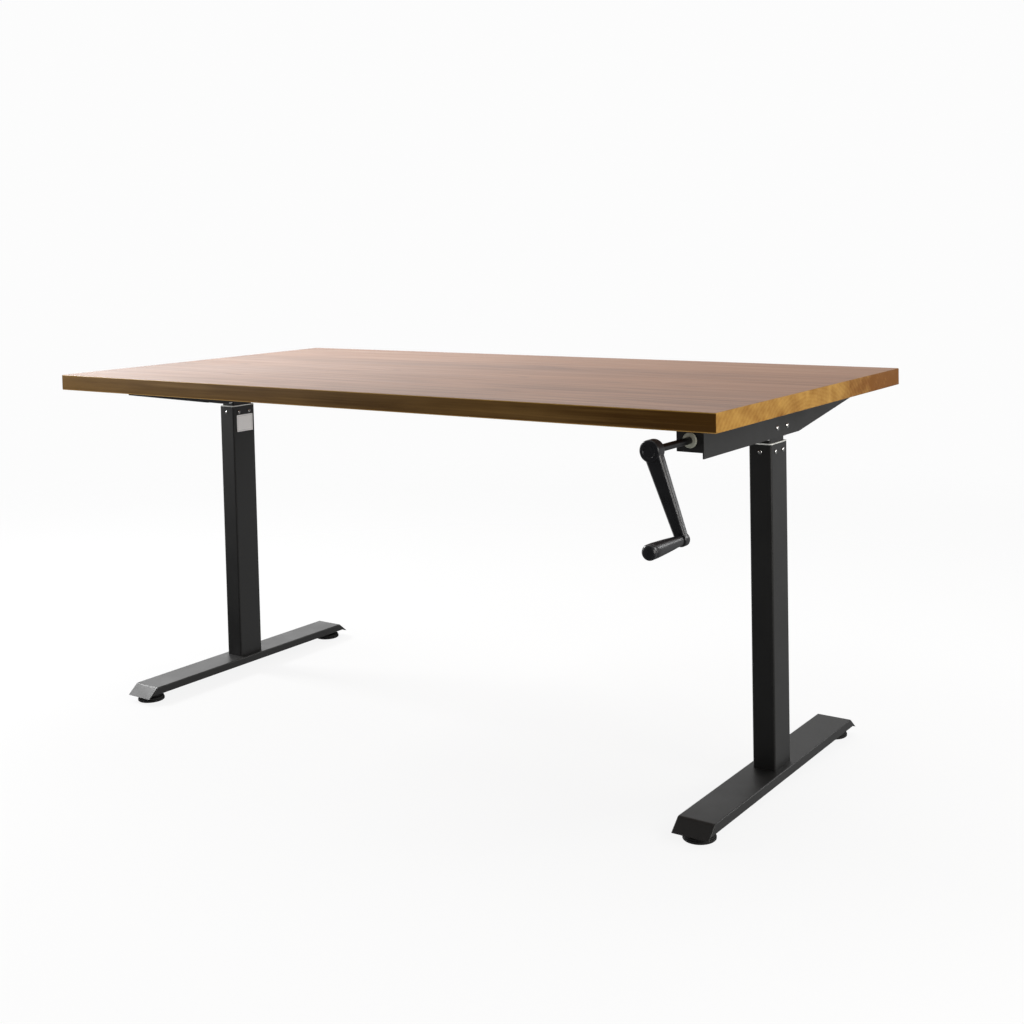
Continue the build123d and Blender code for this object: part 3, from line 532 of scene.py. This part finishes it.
def plain_metal(dark, light, rough_low, rough_high, grain=(600.0, 600.0, 600.0)):
    """A recipe for bare or plated metal, with a fine directional grain."""

    def metal(recipe):
        place = recipe.place()
        brushed = recipe.noise(recipe.stretched(place, grain), 1.0, 4.0, 0.6)
        stain = recipe.noise(place, 45.0, 3.0, 0.55)
        return {
            "Base Color": recipe.mixed(stain, dark, light),
            "Roughness": recipe.between(brushed, 0.3, 0.7, rough_low, rough_high, smooth=False),
            "Normal": recipe.bump(brushed, 0.02 * MM, 0.3),
        }

    return metal


def nylon(recipe):
    """Pale nylon, slightly waxy."""
    place = recipe.place()
    mottle = recipe.noise(place, 160.0, 3.0, 0.5)
    return {
        "Base Color": recipe.mixed(mottle, (0.56, 0.57, 0.54), (0.72, 0.73, 0.70)),
        "Roughness": recipe.between(mottle, 0.3, 0.7, 0.38, 0.5, smooth=False),
        "Normal": recipe.bump(mottle, 0.02 * MM, 0.3),
    }


BUSH_PAINTED_SHADE_REACH = 13 * MM  # how far above and below the shaft's axis the painted light and shade on the bush reach


def bush_plastic(recipe):
    """The pale greenish bush round the crank's shaft, with faint turning marks, painted lighter on top and
    darker underneath as light and shade.
    """
    place = recipe.place()
    _, _, up = recipe.axes(place)
    marks = recipe.noise(recipe.stretched(place, (500.0, 60.0, 500.0)), 1.0, 3.0, 0.6)
    # painted light and shade: the bush is coloured lighter above the shaft and darker below it
    shade = recipe.between(up, HUB.z - BUSH_PAINTED_SHADE_REACH, HUB.z + BUSH_PAINTED_SHADE_REACH, 0.2, 0.8)
    return {
        "Base Color": recipe.mixed(shade, (0.24, 0.25, 0.20), (0.40, 0.41, 0.34)),
        "Roughness": recipe.between(marks, 0.3, 0.7, 0.34, 0.46, smooth=False),
        "Normal": recipe.bump(marks, 0.02 * MM, 0.3),
    }


# The label on the inner face of the left column: its drop from the column's top, its set-back from
# the front, and its length along the face.
LABEL_DROP = 21 * MM
LABEL_SETBACK = 11 * MM
LABEL_LENGTH = 50 * MM
LABEL_SUNK = 0.05 * MM
LABEL_PROUD = 0.25 * MM
LABEL_BORDER = 3 * MM


def label_paper(recipe):
    """Blank white label paper with a thin grey border, and no print."""
    low, high = label_box()
    place = recipe.place()
    _, across, up = recipe.axes(place)
    inset_side = (high.y - low.y) / 2 - LABEL_BORDER - abs(across - (low.y + high.y) / 2)
    inset_rise = (high.z - low.z) / 2 - LABEL_BORDER - abs(up - (low.z + high.z) / 2)
    nearest = recipe.node("ShaderNodeMath", {"operation": "MINIMUM"}, {0: inset_side, 1: inset_rise})
    line = recipe.between(abs(nearest), 0.5 * MM, 0.3 * MM)
    fibre = recipe.noise(place, 700.0, 4.0, 0.6)
    paper = recipe.mixed(fibre, (0.74, 0.73, 0.72), (0.88, 0.87, 0.86))
    return {
        "Base Color": recipe.mixed(line * 0.55, paper, (0.22, 0.20, 0.20)),
        "Roughness": recipe.between(fibre, 0.3, 0.7, 0.48, 0.6, smooth=False),
        "Normal": recipe.bump(fibre, 0.02 * MM, 0.3),
    }


FINISHES = {
    "powder coat": (powder_coat, {"Specular_IOR_Level": 0.45}),
    "moulded black": (moulded_plastic, {"Specular_IOR_Level": 0.5}),
    "pad rubber": (rubber, {"Specular_IOR_Level": 0.35}),
    "glide nylon": (nylon, {"Specular_IOR_Level": 0.45}),
    "bush plastic": (bush_plastic, {"Specular_IOR_Level": 0.5}),
    "label paper": (label_paper, {"Specular_IOR_Level": 0.4}),
    "cast zinc": (plain_metal((0.30, 0.30, 0.31), (0.42, 0.42, 0.43), 0.42, 0.58), {"Metallic": 1.0}),
    "nut bronze": (plain_metal((0.42, 0.27, 0.10), (0.60, 0.41, 0.17), 0.26, 0.40), {"Metallic": 1.0}),
    "bright screw": (plain_metal((0.62, 0.62, 0.62), (0.80, 0.80, 0.79), 0.14, 0.26), {"Metallic": 1.0}),
    "dark shaft": (plain_metal((0.035, 0.035, 0.037), (0.07, 0.07, 0.07), 0.28, 0.42), {"Metallic": 1.0}),
    "gear steel": (plain_metal((0.36, 0.36, 0.37), (0.50, 0.50, 0.50), 0.24, 0.38), {"Metallic": 1.0}),
    "zinc plate": (plain_metal((0.50, 0.51, 0.53), (0.66, 0.67, 0.68), 0.24, 0.38), {"Metallic": 1.0}),
}

NODE_FINISHES = {
    "powder coat": ("foot", "outer_column", "inner_column", "bracket", "front_plate", "front_rail",
                    "rear_rail", "nut_tube"),
    "glide nylon": ("upper_glide", "lower_glide"),
    "bush plastic": ("crank_bush",),
    "cast zinc": ("gear_housing", "gear_cover"),
    "nut bronze": ("drive_nut",),
    "bright screw": ("glide_screws", "housing_screws", "lead_screw"),
    "dark shaft": ("hex_rod", "crank_shaft", "shaft_collar"),
    "gear steel": ("crank_gear", "rod_gear", "screw_gear", "thrust_bearing"),
    "zinc plate": ("base_bolts", "plate_bolts", "rail_bolts", "rail_lock_screws", "desktop_screws",
                   "stud", "grip_axle"),
}


# ---------------------------------------------------------------- modelling


AXES = {"-Y": Vector((0, -1, 0)), "Z": Vector((0, 0, 1))}


def clear_selection():
    """Leaves nothing selected and no object being edited."""
    if bpy.context.object and bpy.context.object.mode == "EDIT":
        bpy.ops.object.mode_set(mode="OBJECT")
    bpy.ops.object.select_all(action="DESELECT")


def take(piece):
    """Selects one piece alone and makes it the active one."""
    clear_selection()
    piece.select_set(True)
    bpy.context.view_layer.objects.active = piece


def named(name):
    """Names the new primitive, and puts its size and place into its mesh."""
    piece = bpy.context.object
    piece.name = name
    piece.data.name = name
    bpy.ops.object.transform_apply(location=True, rotation=True, scale=True)
    return piece


def new_box(name, low, high):
    """A box between two corners."""
    clear_selection()
    bpy.ops.mesh.primitive_cube_add(size=1.0, location=(low + high) / 2, scale=high - low)
    return named(name)


def new_drum(name, centre, radius, length, axis, sides):
    """A cylinder that starts at a point and runs along an axis, towards the user (-Y) or upwards (Z)."""
    clear_selection()
    turn = (math.pi / 2, 0, 0) if axis == "-Y" else (0, 0, 0)
    bpy.ops.mesh.primitive_cylinder_add(
        vertices=sides, radius=radius, depth=length, location=centre + AXES[axis] * length / 2, rotation=turn
    )
    return named(name)


def pick(piece, kind, test):
    """In edit mode, selects only the faces or edges that pass a test."""
    bpy.ops.mesh.select_mode(type=kind)
    shape = bmesh.from_edit_mesh(piece.data)
    items = shape.faces if kind == "FACE" else shape.edges
    for group in (shape.faces, shape.edges, shape.verts):
        for item in group:
            item.select = False
    chosen = [item for item in items if test(item)]
    for item in chosen:
        item.select_set(True)
    bmesh.update_edit_mesh(piece.data)
    if not chosen:
        raise RuntimeError(f"{piece.name}: no {kind.lower()} was found where one should be")


def runs_along(axis):
    """A test for edges that run along an axis, 0 for X, 1 for Y or 2 for Z."""
    return lambda edge: abs((edge.verts[0].co - edge.verts[1].co).normalized()[axis]) > 0.9


def furthest_face(piece, direction):
    """Selects the face that lies furthest along a direction and looks that way."""
    shape = bmesh.from_edit_mesh(piece.data)

    def looks(face):
        return face.normal.dot(direction) > 0.99

    def reach(face):
        return face.calc_center_median().dot(direction)

    furthest = max(reach(face) for face in shape.faces if looks(face))
    tight = 0.001 * MM
    pick(piece, "FACE", lambda face: looks(face) and abs(reach(face) - furthest) < tight)


def turned(name, centre, axis, profile, sides):
    """A piece turned by hand: a drum whose end face is drawn out and resized at each step.

    The profile is a list of (distance along the axis, radius). The first pair is the start.
    """
    along = AXES[axis]
    (start, radius), (reach, _) = profile[0], profile[1]
    piece = new_drum(name, centre + along * start, radius, reach - start, axis, sides)
    bpy.ops.object.mode_set(mode="EDIT")
    furthest_face(piece, along)
    across = (1, 0, 1) if axis == "-Y" else (1, 1, 0)
    for index, (reach, radius) in enumerate(profile[1:]):
        last_reach, last_radius = profile[index]
        if index:
            step = along * (reach - last_reach)
            bpy.ops.mesh.extrude_region_move(TRANSFORM_OT_translate={"value": step})
        scale = radius / last_radius
        size = [scale if wide else 1.0 for wide in across]
        bpy.ops.transform.resize(value=size, center_override=centre + along * reach)
    bpy.ops.object.mode_set(mode="OBJECT")
    return piece


def soften(piece, angle=35.0):
    """Shades a finished piece smooth, except across sharp edges."""
    take(piece)
    bpy.ops.object.shade_smooth_by_angle(angle=math.radians(angle))


def settle(piece, kind, **values):
    """Adds one modifier with its settings, and applies it."""
    take(piece)
    modifier = piece.modifiers.new(kind.title(), kind)
    for setting, value in values.items():
        setattr(modifier, setting, value)
    bpy.ops.object.modifier_apply(modifier=modifier.name)


def unite(piece, others):
    """Joins overlapping solids into one."""
    for other in others:
        settle(piece, "BOOLEAN", operation="UNION", solver="EXACT", object=other)
        bpy.data.objects.remove(other)


def hand_over(piece, body, slot, materials, *nodes):
    """Gives a finished piece its materials, body and the CAD nodes it stands for. The slot argument is not
    used.
    """
    piece.data.materials.clear()
    for material in materials:
        piece.data.materials.append(bpy.data.materials[material])
    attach(piece, body)
    if nodes:
        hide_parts(*nodes)


# ---------------------------------------------------------------- operators


class DESK_OT_finishes(bpy.types.Operator):
    """Makes the finishes and gives one to every node of the frame."""

    bl_idname = "crank_desk.finishes"
    bl_label = "Make Finishes"

    def execute(self, context):
        for name, (recipe_of, constants) in FINISHES.items():
            finish_material(name, recipe_of, **constants)
        for name, (recipe_of, sheen) in GRAINS.items():
            finish_material(name, recipe_of, Specular_IOR_Level=sheen)
        for finish, starts in NODE_FINISHES.items():
            for name, node in NODES.items():
                if name.startswith(starts):
                    node.data.materials.clear()
                    node.data.materials.append(bpy.data.materials[finish])
        return {"FINISHED"}


class DESK_OT_top(bpy.types.Operator):
    """Builds the wooden top with rounded arrises and grain that turns at its edges."""

    bl_idname = "crank_desk.top"
    bl_label = "Build Top"

    def execute(self, context):
        top = settings("top")
        slab = new_box("walnut_top", TOP_LOW, TOP_HIGH)
        bpy.ops.object.mode_set(mode="EDIT")
        pick(slab, "EDGE", lambda edge: True)
        bpy.ops.mesh.bevel(offset=top.arris, segments=4, profile=0.5, affect="EDGES")
        bpy.ops.object.mode_set(mode="OBJECT")
        soften(slab, 30.0)
        hand_over(slab, "upper_frame", "walnut_top", GRAINS, "desktop")
        names = list(GRAINS)
        for face in slab.data.polygons:
            if abs(face.normal.x) > 0.7:
                face.material_index = names.index("walnut end grain")
            elif abs(face.normal.y) > 0.7:
                face.material_index = names.index("walnut long edge")
        return {"FINISHED"}


ARM_RELIEF = 2.5 * MM  # how far the bar lies under the hub's face and rim
ARM_BACK_GAP = 0.6 * MM  # how far the bar's back lies inside the bosses' backs
TIP_RELIEF = 0.3 * MM
GRIP_GAP = 1 * MM  # between the arm and the grip
BOSS_ROUND = 3 * MM
BOSS_DISH = 0.8 * MM
DISH_SHARE = 0.62  # radius of the dished centre, as a share of the boss's


class DESK_OT_arm(bpy.types.Operator):
    """Builds the crank's tapered arm with its hub and tip boss."""

    bl_idname = "crank_desk.arm"
    bl_label = "Build Crank Arm"

    def execute(self, context):
        crank = settings("crank")
        rear = ARM_HIGH.y
        hub_thick = rear - ARM_LOW.y
        tip_thick = rear - GRIP_HIGH.y - GRIP_GAP
        hub_rear = Vector((HUB.x, rear, HUB.z))
        tip_rear = Vector((TIP.x, rear, TIP.z))
        reach = (tip_rear - hub_rear).length
        lean = math.atan2(TIP.x - HUB.x, HUB.z - TIP.z)
        half_hub = HUB_RADIUS - ARM_RELIEF
        half_tip = TIP_RADIUS - TIP_RELIEF
        bar_thick = hub_thick - ARM_RELIEF
        bar = new_box(
            "crank_arm_black",
            Vector((HUB.x - half_hub, rear - bar_thick, HUB.z - reach)),
            Vector((HUB.x + half_hub, rear - ARM_BACK_GAP, HUB.z)),
        )
        bpy.ops.object.mode_set(mode="EDIT")
        furthest_face(bar, Vector((0, 0, -1)))
        narrowing = (half_tip / half_hub, tip_thick / bar_thick, 1)
        bpy.ops.transform.resize(value=narrowing, center_override=(HUB.x, rear, HUB.z - reach))
        pick(bar, "EDGE", runs_along(2))
        bpy.ops.mesh.bevel(offset=crank.rounding, segments=6, profile=0.5, affect="EDGES")
        bpy.ops.object.mode_set(mode="OBJECT")
        turn = Matrix.Translation(hub_rear) @ Matrix.Rotation(-lean, 4, "Y") @ Matrix.Translation(-hub_rear)
        bar.matrix_world = turn
        take(bar)
        bpy.ops.object.transform_apply(location=True, rotation=True, scale=True)
        hub = turned("hub", hub_rear, "-Y", boss_profile(HUB_RADIUS, hub_thick), crank.sides)
        tip = turned("tip", tip_rear, "-Y", boss_profile(TIP_RADIUS, tip_thick), crank.sides)
        unite(bar, [hub, tip])
        soften(bar, 32.0)
        hand_over(bar, "crank", "crank_black", ["moulded black"], "crank_arm")
        return {"FINISHED"}


def boss_profile(radius, thick):
    """A drum with both rims rounded, and a shallow dished centre on its front."""
    steps = 5
    start = []
    for step in range(steps + 1):
        angle = step / steps * math.pi / 2
        start.append((BOSS_ROUND * (1 - math.cos(angle)), radius - BOSS_ROUND * (1 - math.sin(angle))))
    end = [(thick - y, r) for y, r in reversed(start)]
    rim = radius * DISH_SHARE
    floor = thick - BOSS_DISH
    return start + end + [(thick, rim), (floor, rim - BOSS_DISH), (floor, rim * 0.3)]


GRIP_NECK = 9 * MM  # radius beside the arm
SWELL_FROM = 0.12  # where the grip starts and stops widening, as shares of its length
SWELL_TO = 0.86
SWELL_BULGE = 0.08  # how far it stands proud of a straight cone, as a share of the widening
CAP_STRAIGHT = 0.35  # the cap's straight part, as a share of its thickness
CAP_ARC = math.radians(72)
CAP_FLAT = 0.42  # radius that the cap's dome closes towards, as a share of the grip's


class DESK_OT_grip(bpy.types.Operator):
    """Builds the grip and its cap."""

    bl_idname = "crank_desk.grip"
    bl_label = "Build Grip"

    def execute(self, context):
        crank = settings("crank")
        length = GRIP_HIGH.y - GRIP_LOW.y
        start = Vector((TIP.x, GRIP_HIGH.y, TIP.z))
        profile = [(0.0, GRIP_NECK - 1.2 * MM), (0.4 * MM, GRIP_NECK - 0.3 * MM), (1.2 * MM, GRIP_NECK)]
        steps = 12
        for step in range(steps + 1):
            share = step / steps
            eased = share + SWELL_BULGE * math.sin(share * math.pi)
            distance = (SWELL_FROM + (SWELL_TO - SWELL_FROM) * share) * length
            profile.append((distance, GRIP_NECK + (GRIP_RADIUS - GRIP_NECK) * eased))
        profile += [(length - 0.8 * MM, GRIP_RADIUS), (length - 0.1 * MM, GRIP_RADIUS - 0.5 * MM)]
        grip = turned("crank_grip_black", start, "-Y", profile, crank.sides)
        soften(grip, 40.0)
        hand_over(grip, "grip", "grip_black", ["moulded black"], "crank_grip")
        seat = Vector((TIP.x, GRIP_LOW.y, TIP.z))
        thick = GRIP_LOW.y - CAP_LOW.y
        dome = [(0.05 * MM, GRIP_RADIUS - 0.4 * MM), (0.5 * MM, GRIP_RADIUS)]
        steps = 8
        for step in range(steps + 1):
            angle = step / steps * CAP_ARC
            rise = math.sin(angle) / math.sin(CAP_ARC)
            reach = thick * (CAP_STRAIGHT + (1 - CAP_STRAIGHT) * rise)
            dome.append((reach, GRIP_RADIUS * (CAP_FLAT + (1 - CAP_FLAT) * math.cos(angle))))
        cap = turned("crank_cap_black", seat, "-Y", dome, crank.sides)
        soften(cap, 40.0)
        hand_over(cap, "grip", "grip_black", ["moulded black"], "grip_cap")
        return {"FINISHED"}


PAD_SIDES = 56
PAD_THICK = 10 * MM
# From the floor up: height, and how far inside the pad's rim. A shallow groove runs round it.
PAD_OUTLINE = (
    (0.0, 2.5 * MM), (0.4 * MM, 1.0 * MM), (1.4 * MM, 0.0), (4.6 * MM, 0.0), (5.2 * MM, 0.5 * MM),
    (5.5 * MM, 2.0 * MM), (6.3 * MM, 2.0 * MM), (6.8 * MM, 1.2 * MM), (8.2 * MM, 1.4 * MM),
    (9.4 * MM, 3.2 * MM), (PAD_THICK, 6.0 * MM),
)
PAD_BORE = 5.5 * MM
PAD_NUT = 8 * MM
PAD_NUT_THICK = 4 * MM


class DESK_OT_pads(bpy.types.Operator):
    """Builds the four levelling pads."""

    bl_idname = "crank_desk.pads"
    bl_label = "Build Pads"

    def execute(self, context):
        low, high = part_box("pad_left_front")
        radius = (high.x - low.x) / 2
        outline = [(height, radius - inside) for height, inside in PAD_OUTLINE]
        outline.append((PAD_THICK, PAD_BORE))
        for side in SIDES:
            for end in ENDS:
                node = f"pad_{side}_{end}"
                base = middle(node)
                base.z = low.z
                pad = turned(f"pad_black_{side}_{end}", base, "Z", outline, PAD_SIDES)
                seat = base + Vector((0, 0, PAD_THICK - MM))
                nut = new_drum("nut", seat, PAD_NUT, PAD_NUT_THICK, "Z", 6)
                unite(pad, [nut])
                soften(pad, 35.0)
                hand_over(pad, f"levelling_{side}_{end}", "pad_black", ["pad rubber"], node)
        return {"FINISHED"}


def label_box():
    """The label's corners, under the column's screws."""
    low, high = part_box("outer_column_left")
    top = high.z - LABEL_DROP
    near = low.y + LABEL_SETBACK
    return (
        Vector((high.x - LABEL_SUNK, near, top - settings("finish").label_height)),
        Vector((high.x + LABEL_PROUD, near + LABEL_LENGTH, top)),
    )


class DESK_OT_label(bpy.types.Operator):
    """Builds the blank label on the left column."""

    bl_idname = "crank_desk.label"
    bl_label = "Build Label"

    def execute(self, context):
        low, high = label_box()
        label = new_box("blank_label", low, high)
        bpy.ops.object.mode_set(mode="EDIT")
        pick(label, "EDGE", runs_along(0))
        bpy.ops.mesh.bevel(offset=2 * MM, segments=5, profile=0.5, affect="EDGES")
        bpy.ops.object.mode_set(mode="OBJECT")
        soften(label)
        hand_over(label, "left_base", "nylon_glide", ["label paper"])
        return {"FINISHED"}


# ---------------------------------------------------------------- stage


# The room's soft bright walls: the way to each, its strength, and how tightly it is gathered.
ROOM = 0.08
WALLS = (
    ((-0.90, 0.42, 0.10), 3.9, 10.0),
    ((0.75, 0.66, -0.05), 0.32, 3.0),
    ((0.0, 0.45, 0.9), 0.90, 5.0),
    ((0.2, 0.95, 0.25), 0.25, 2.0),
)

CRANK_SPOT = (0.72, -0.36, 0.6)
# Each light's name, place, the point it looks at, its width and height, power in watts, and colour.
LIGHTS = (
    ("crank side light", (2.7, -0.35, 1.05), (0.8, 0.0, 0.6), (0.9, 1.2), 22.0, (1.0, 0.96, 0.9)),
    ("crank strip light", (2.3, -1.15, 1.0), CRANK_SPOT, (0.14, 0.9), 7.0, WHITE),
    ("rear side light", (2.2, 2.2, 1.75), CRANK_SPOT, (0.8, 0.9), 20.0, WHITE),
    ("overhead light", (-0.3, 0.9, 2.6), (0.0, TOP_LOW.y + 0.3, TOP_HIGH.z), (2.4, 1.6), 31.0,
     (1.0, 0.97, 0.94)),
    ("far side light", (-3.0, -0.3, 2.3), (-0.7, -0.2, 0.0), (0.9, 0.7), 100.0, WHITE),
    ("user side light", (-1.6, -1.4, 0.8), (-0.7, -0.3, 0.1), (0.7, 0.7), 8.0, WHITE),
)


def softbox(name, place, aim, size, power, colour):
    """An area light that looks at a point and isn't seen itself."""
    data = bpy.data.lights.new(name, "AREA")
    data.shape = "RECTANGLE"
    data.size, data.size_y = size
    data.energy = power
    data.color = colour
    light = bpy.data.objects.new(name, data)
    bpy.context.scene.collection.objects.link(light)
    light.location = place
    light.rotation_euler = (Vector(aim) - Vector(place)).to_track_quat("-Z", "Y").to_euler()
    light.visible_camera = False


def studio_world(brightness):
    """White all round for the eye, and a dim room with soft bright walls for the light."""
    world = bpy.data.worlds.new("studio")
    bpy.context.scene.world = world
    world.use_nodes = True
    world.node_tree.nodes.clear()
    recipe = Recipe(world.node_tree)
    way = recipe.node("ShaderNodeTexCoord", output="Generated")
    light = ROOM
    for aim, strength, focus in WALLS:
        facing = recipe.node(
            "ShaderNodeVectorMath", {"operation": "DOT_PRODUCT"},
            {0: way, 1: tuple(Vector(aim).normalized())}, output="Value",
        )
        lobe = recipe.between(facing, 0.0, 1.0, smooth=False) ** focus * strength
        light = lobe + light
    lit = recipe.node("ShaderNodeBackground", {}, {"Color": (1, 1, 1, 1), "Strength": light})
    seen = recipe.node("ShaderNodeBackground", {}, {"Color": (1, 1, 1, 1), "Strength": brightness})
    eye = recipe.node("ShaderNodeLightPath", output="Is Camera Ray")
    mixed = recipe.node("ShaderNodeMixShader", {}, {0: eye, 1: lit, 2: seen})
    recipe.node("ShaderNodeOutputWorld", {}, {"Surface": mixed})


FLOOR_GLOW = 0.90  # the share of the floor's light that it gives off itself, so shadows stay faint


def floor_material(brightness, reach):
    """A pale floor that takes soft shadows and fades into the white round it."""
    material = bpy.data.materials.new("pale floor")
    material.use_nodes = True
    material.node_tree.nodes.clear()
    recipe = Recipe(material.node_tree)
    along, across, _ = recipe.axes(recipe.place())
    apart = (along * along + across * across) ** 0.5
    matt = recipe.node("ShaderNodeBsdfDiffuse", {}, {"Color": (0.82, 0.82, 0.82, 1)})
    glow = recipe.node("ShaderNodeEmission", {}, {"Color": (1, 1, 1, 1), "Strength": brightness})
    body = recipe.node("ShaderNodeMixShader", {}, {0: FLOOR_GLOW, 1: matt, 2: glow})
    clear = recipe.node("ShaderNodeBsdfTransparent")
    fade = recipe.between(apart, reach * 0.35, reach * 0.95)
    mixed = recipe.node("ShaderNodeMixShader", {}, {0: fade, 1: body, 2: clear})
    recipe.node("ShaderNodeOutputMaterial", {}, {"Surface": mixed})
    return material


class DESK_OT_stage(bpy.types.Operator):
    """Sets up the floor, the white surroundings, the soft lights and the camera."""

    bl_idname = "crank_desk.stage"
    bl_label = "Set Stage"

    def execute(self, context):
        stage = settings("stage")
        scene = context.scene
        scene.view_settings.view_transform = "Standard"
        studio_world(stage.backdrop)
        clear_selection()
        bpy.ops.mesh.primitive_circle_add(
            vertices=96, radius=stage.floor_reach, fill_type="NGON", location=(0, 0, 0)
        )
        floor = named("studio_floor")
        floor.data.materials.append(floor_material(stage.backdrop, stage.floor_reach))
        floor.visible_glossy = False
        for light in LIGHTS:
            softbox(*light)
        data = bpy.data.cameras.new("camera")
        camera = bpy.data.objects.new("camera", data)
        scene.collection.objects.link(camera)
        data.lens = stage.camera_lens
        data.shift_x, data.shift_y = stage.camera_shift
        turn = Matrix.Rotation(stage.camera_turn, 4, "Z")
        tilt = Matrix.Rotation(math.pi / 2 + stage.camera_tilt, 4, "X")
        roll = Matrix.Rotation(stage.camera_roll, 4, "Z")
        camera.matrix_world = Matrix.Translation(stage.camera_place) @ turn @ tilt @ roll
        scene.camera = camera
        return {"FINISHED"}


# ---------------------------------------------------------------- panel and registration


STEPS = (
    DESK_OT_stage, DESK_OT_finishes, DESK_OT_top, DESK_OT_arm, DESK_OT_grip, DESK_OT_pads, DESK_OT_label,
)
GROUPS = {"top": DESK_PG_top, "crank": DESK_PG_crank, "finish": DESK_PG_finish, "stage": DESK_PG_stage}


class DESK_PT_workshop(bpy.types.Panel):
    """Lists the desk's settings and building steps."""

    bl_idname = "DESK_PT_workshop"
    bl_label = "Crank Desk"
    bl_space_type = "VIEW_3D"
    bl_region_type = "UI"
    bl_category = "Crank Desk"

    def draw(self, context):
        for step in STEPS:
            self.layout.operator(step.bl_idname)
        for part, group in GROUPS.items():
            box = self.layout.box()
            box.label(text=part.title())
            for setting in group.__annotations__:
                box.prop(settings(part), setting)


def register():
    for group in GROUPS.values():
        bpy.utils.register_class(group)
    for part, group in GROUPS.items():
        setattr(bpy.types.Scene, f"crank_desk_{part}", bpy.props.PointerProperty(type=group))
    for step in STEPS:
        bpy.utils.register_class(step)
    bpy.utils.register_class(DESK_PT_workshop)


def unregister():
    bpy.utils.unregister_class(DESK_PT_workshop)
    for step in reversed(STEPS):
        bpy.utils.unregister_class(step)
    for part in GROUPS:
        delattr(bpy.types.Scene, f"crank_desk_{part}")
    for group in reversed(GROUPS.values()):
        bpy.utils.unregister_class(group)


def main():
    register()
    for step in STEPS:
        category, name = step.bl_idname.split(".")
        getattr(getattr(bpy.ops, category), name)()
    clear_selection()


if __name__ == "__main__":
    main()
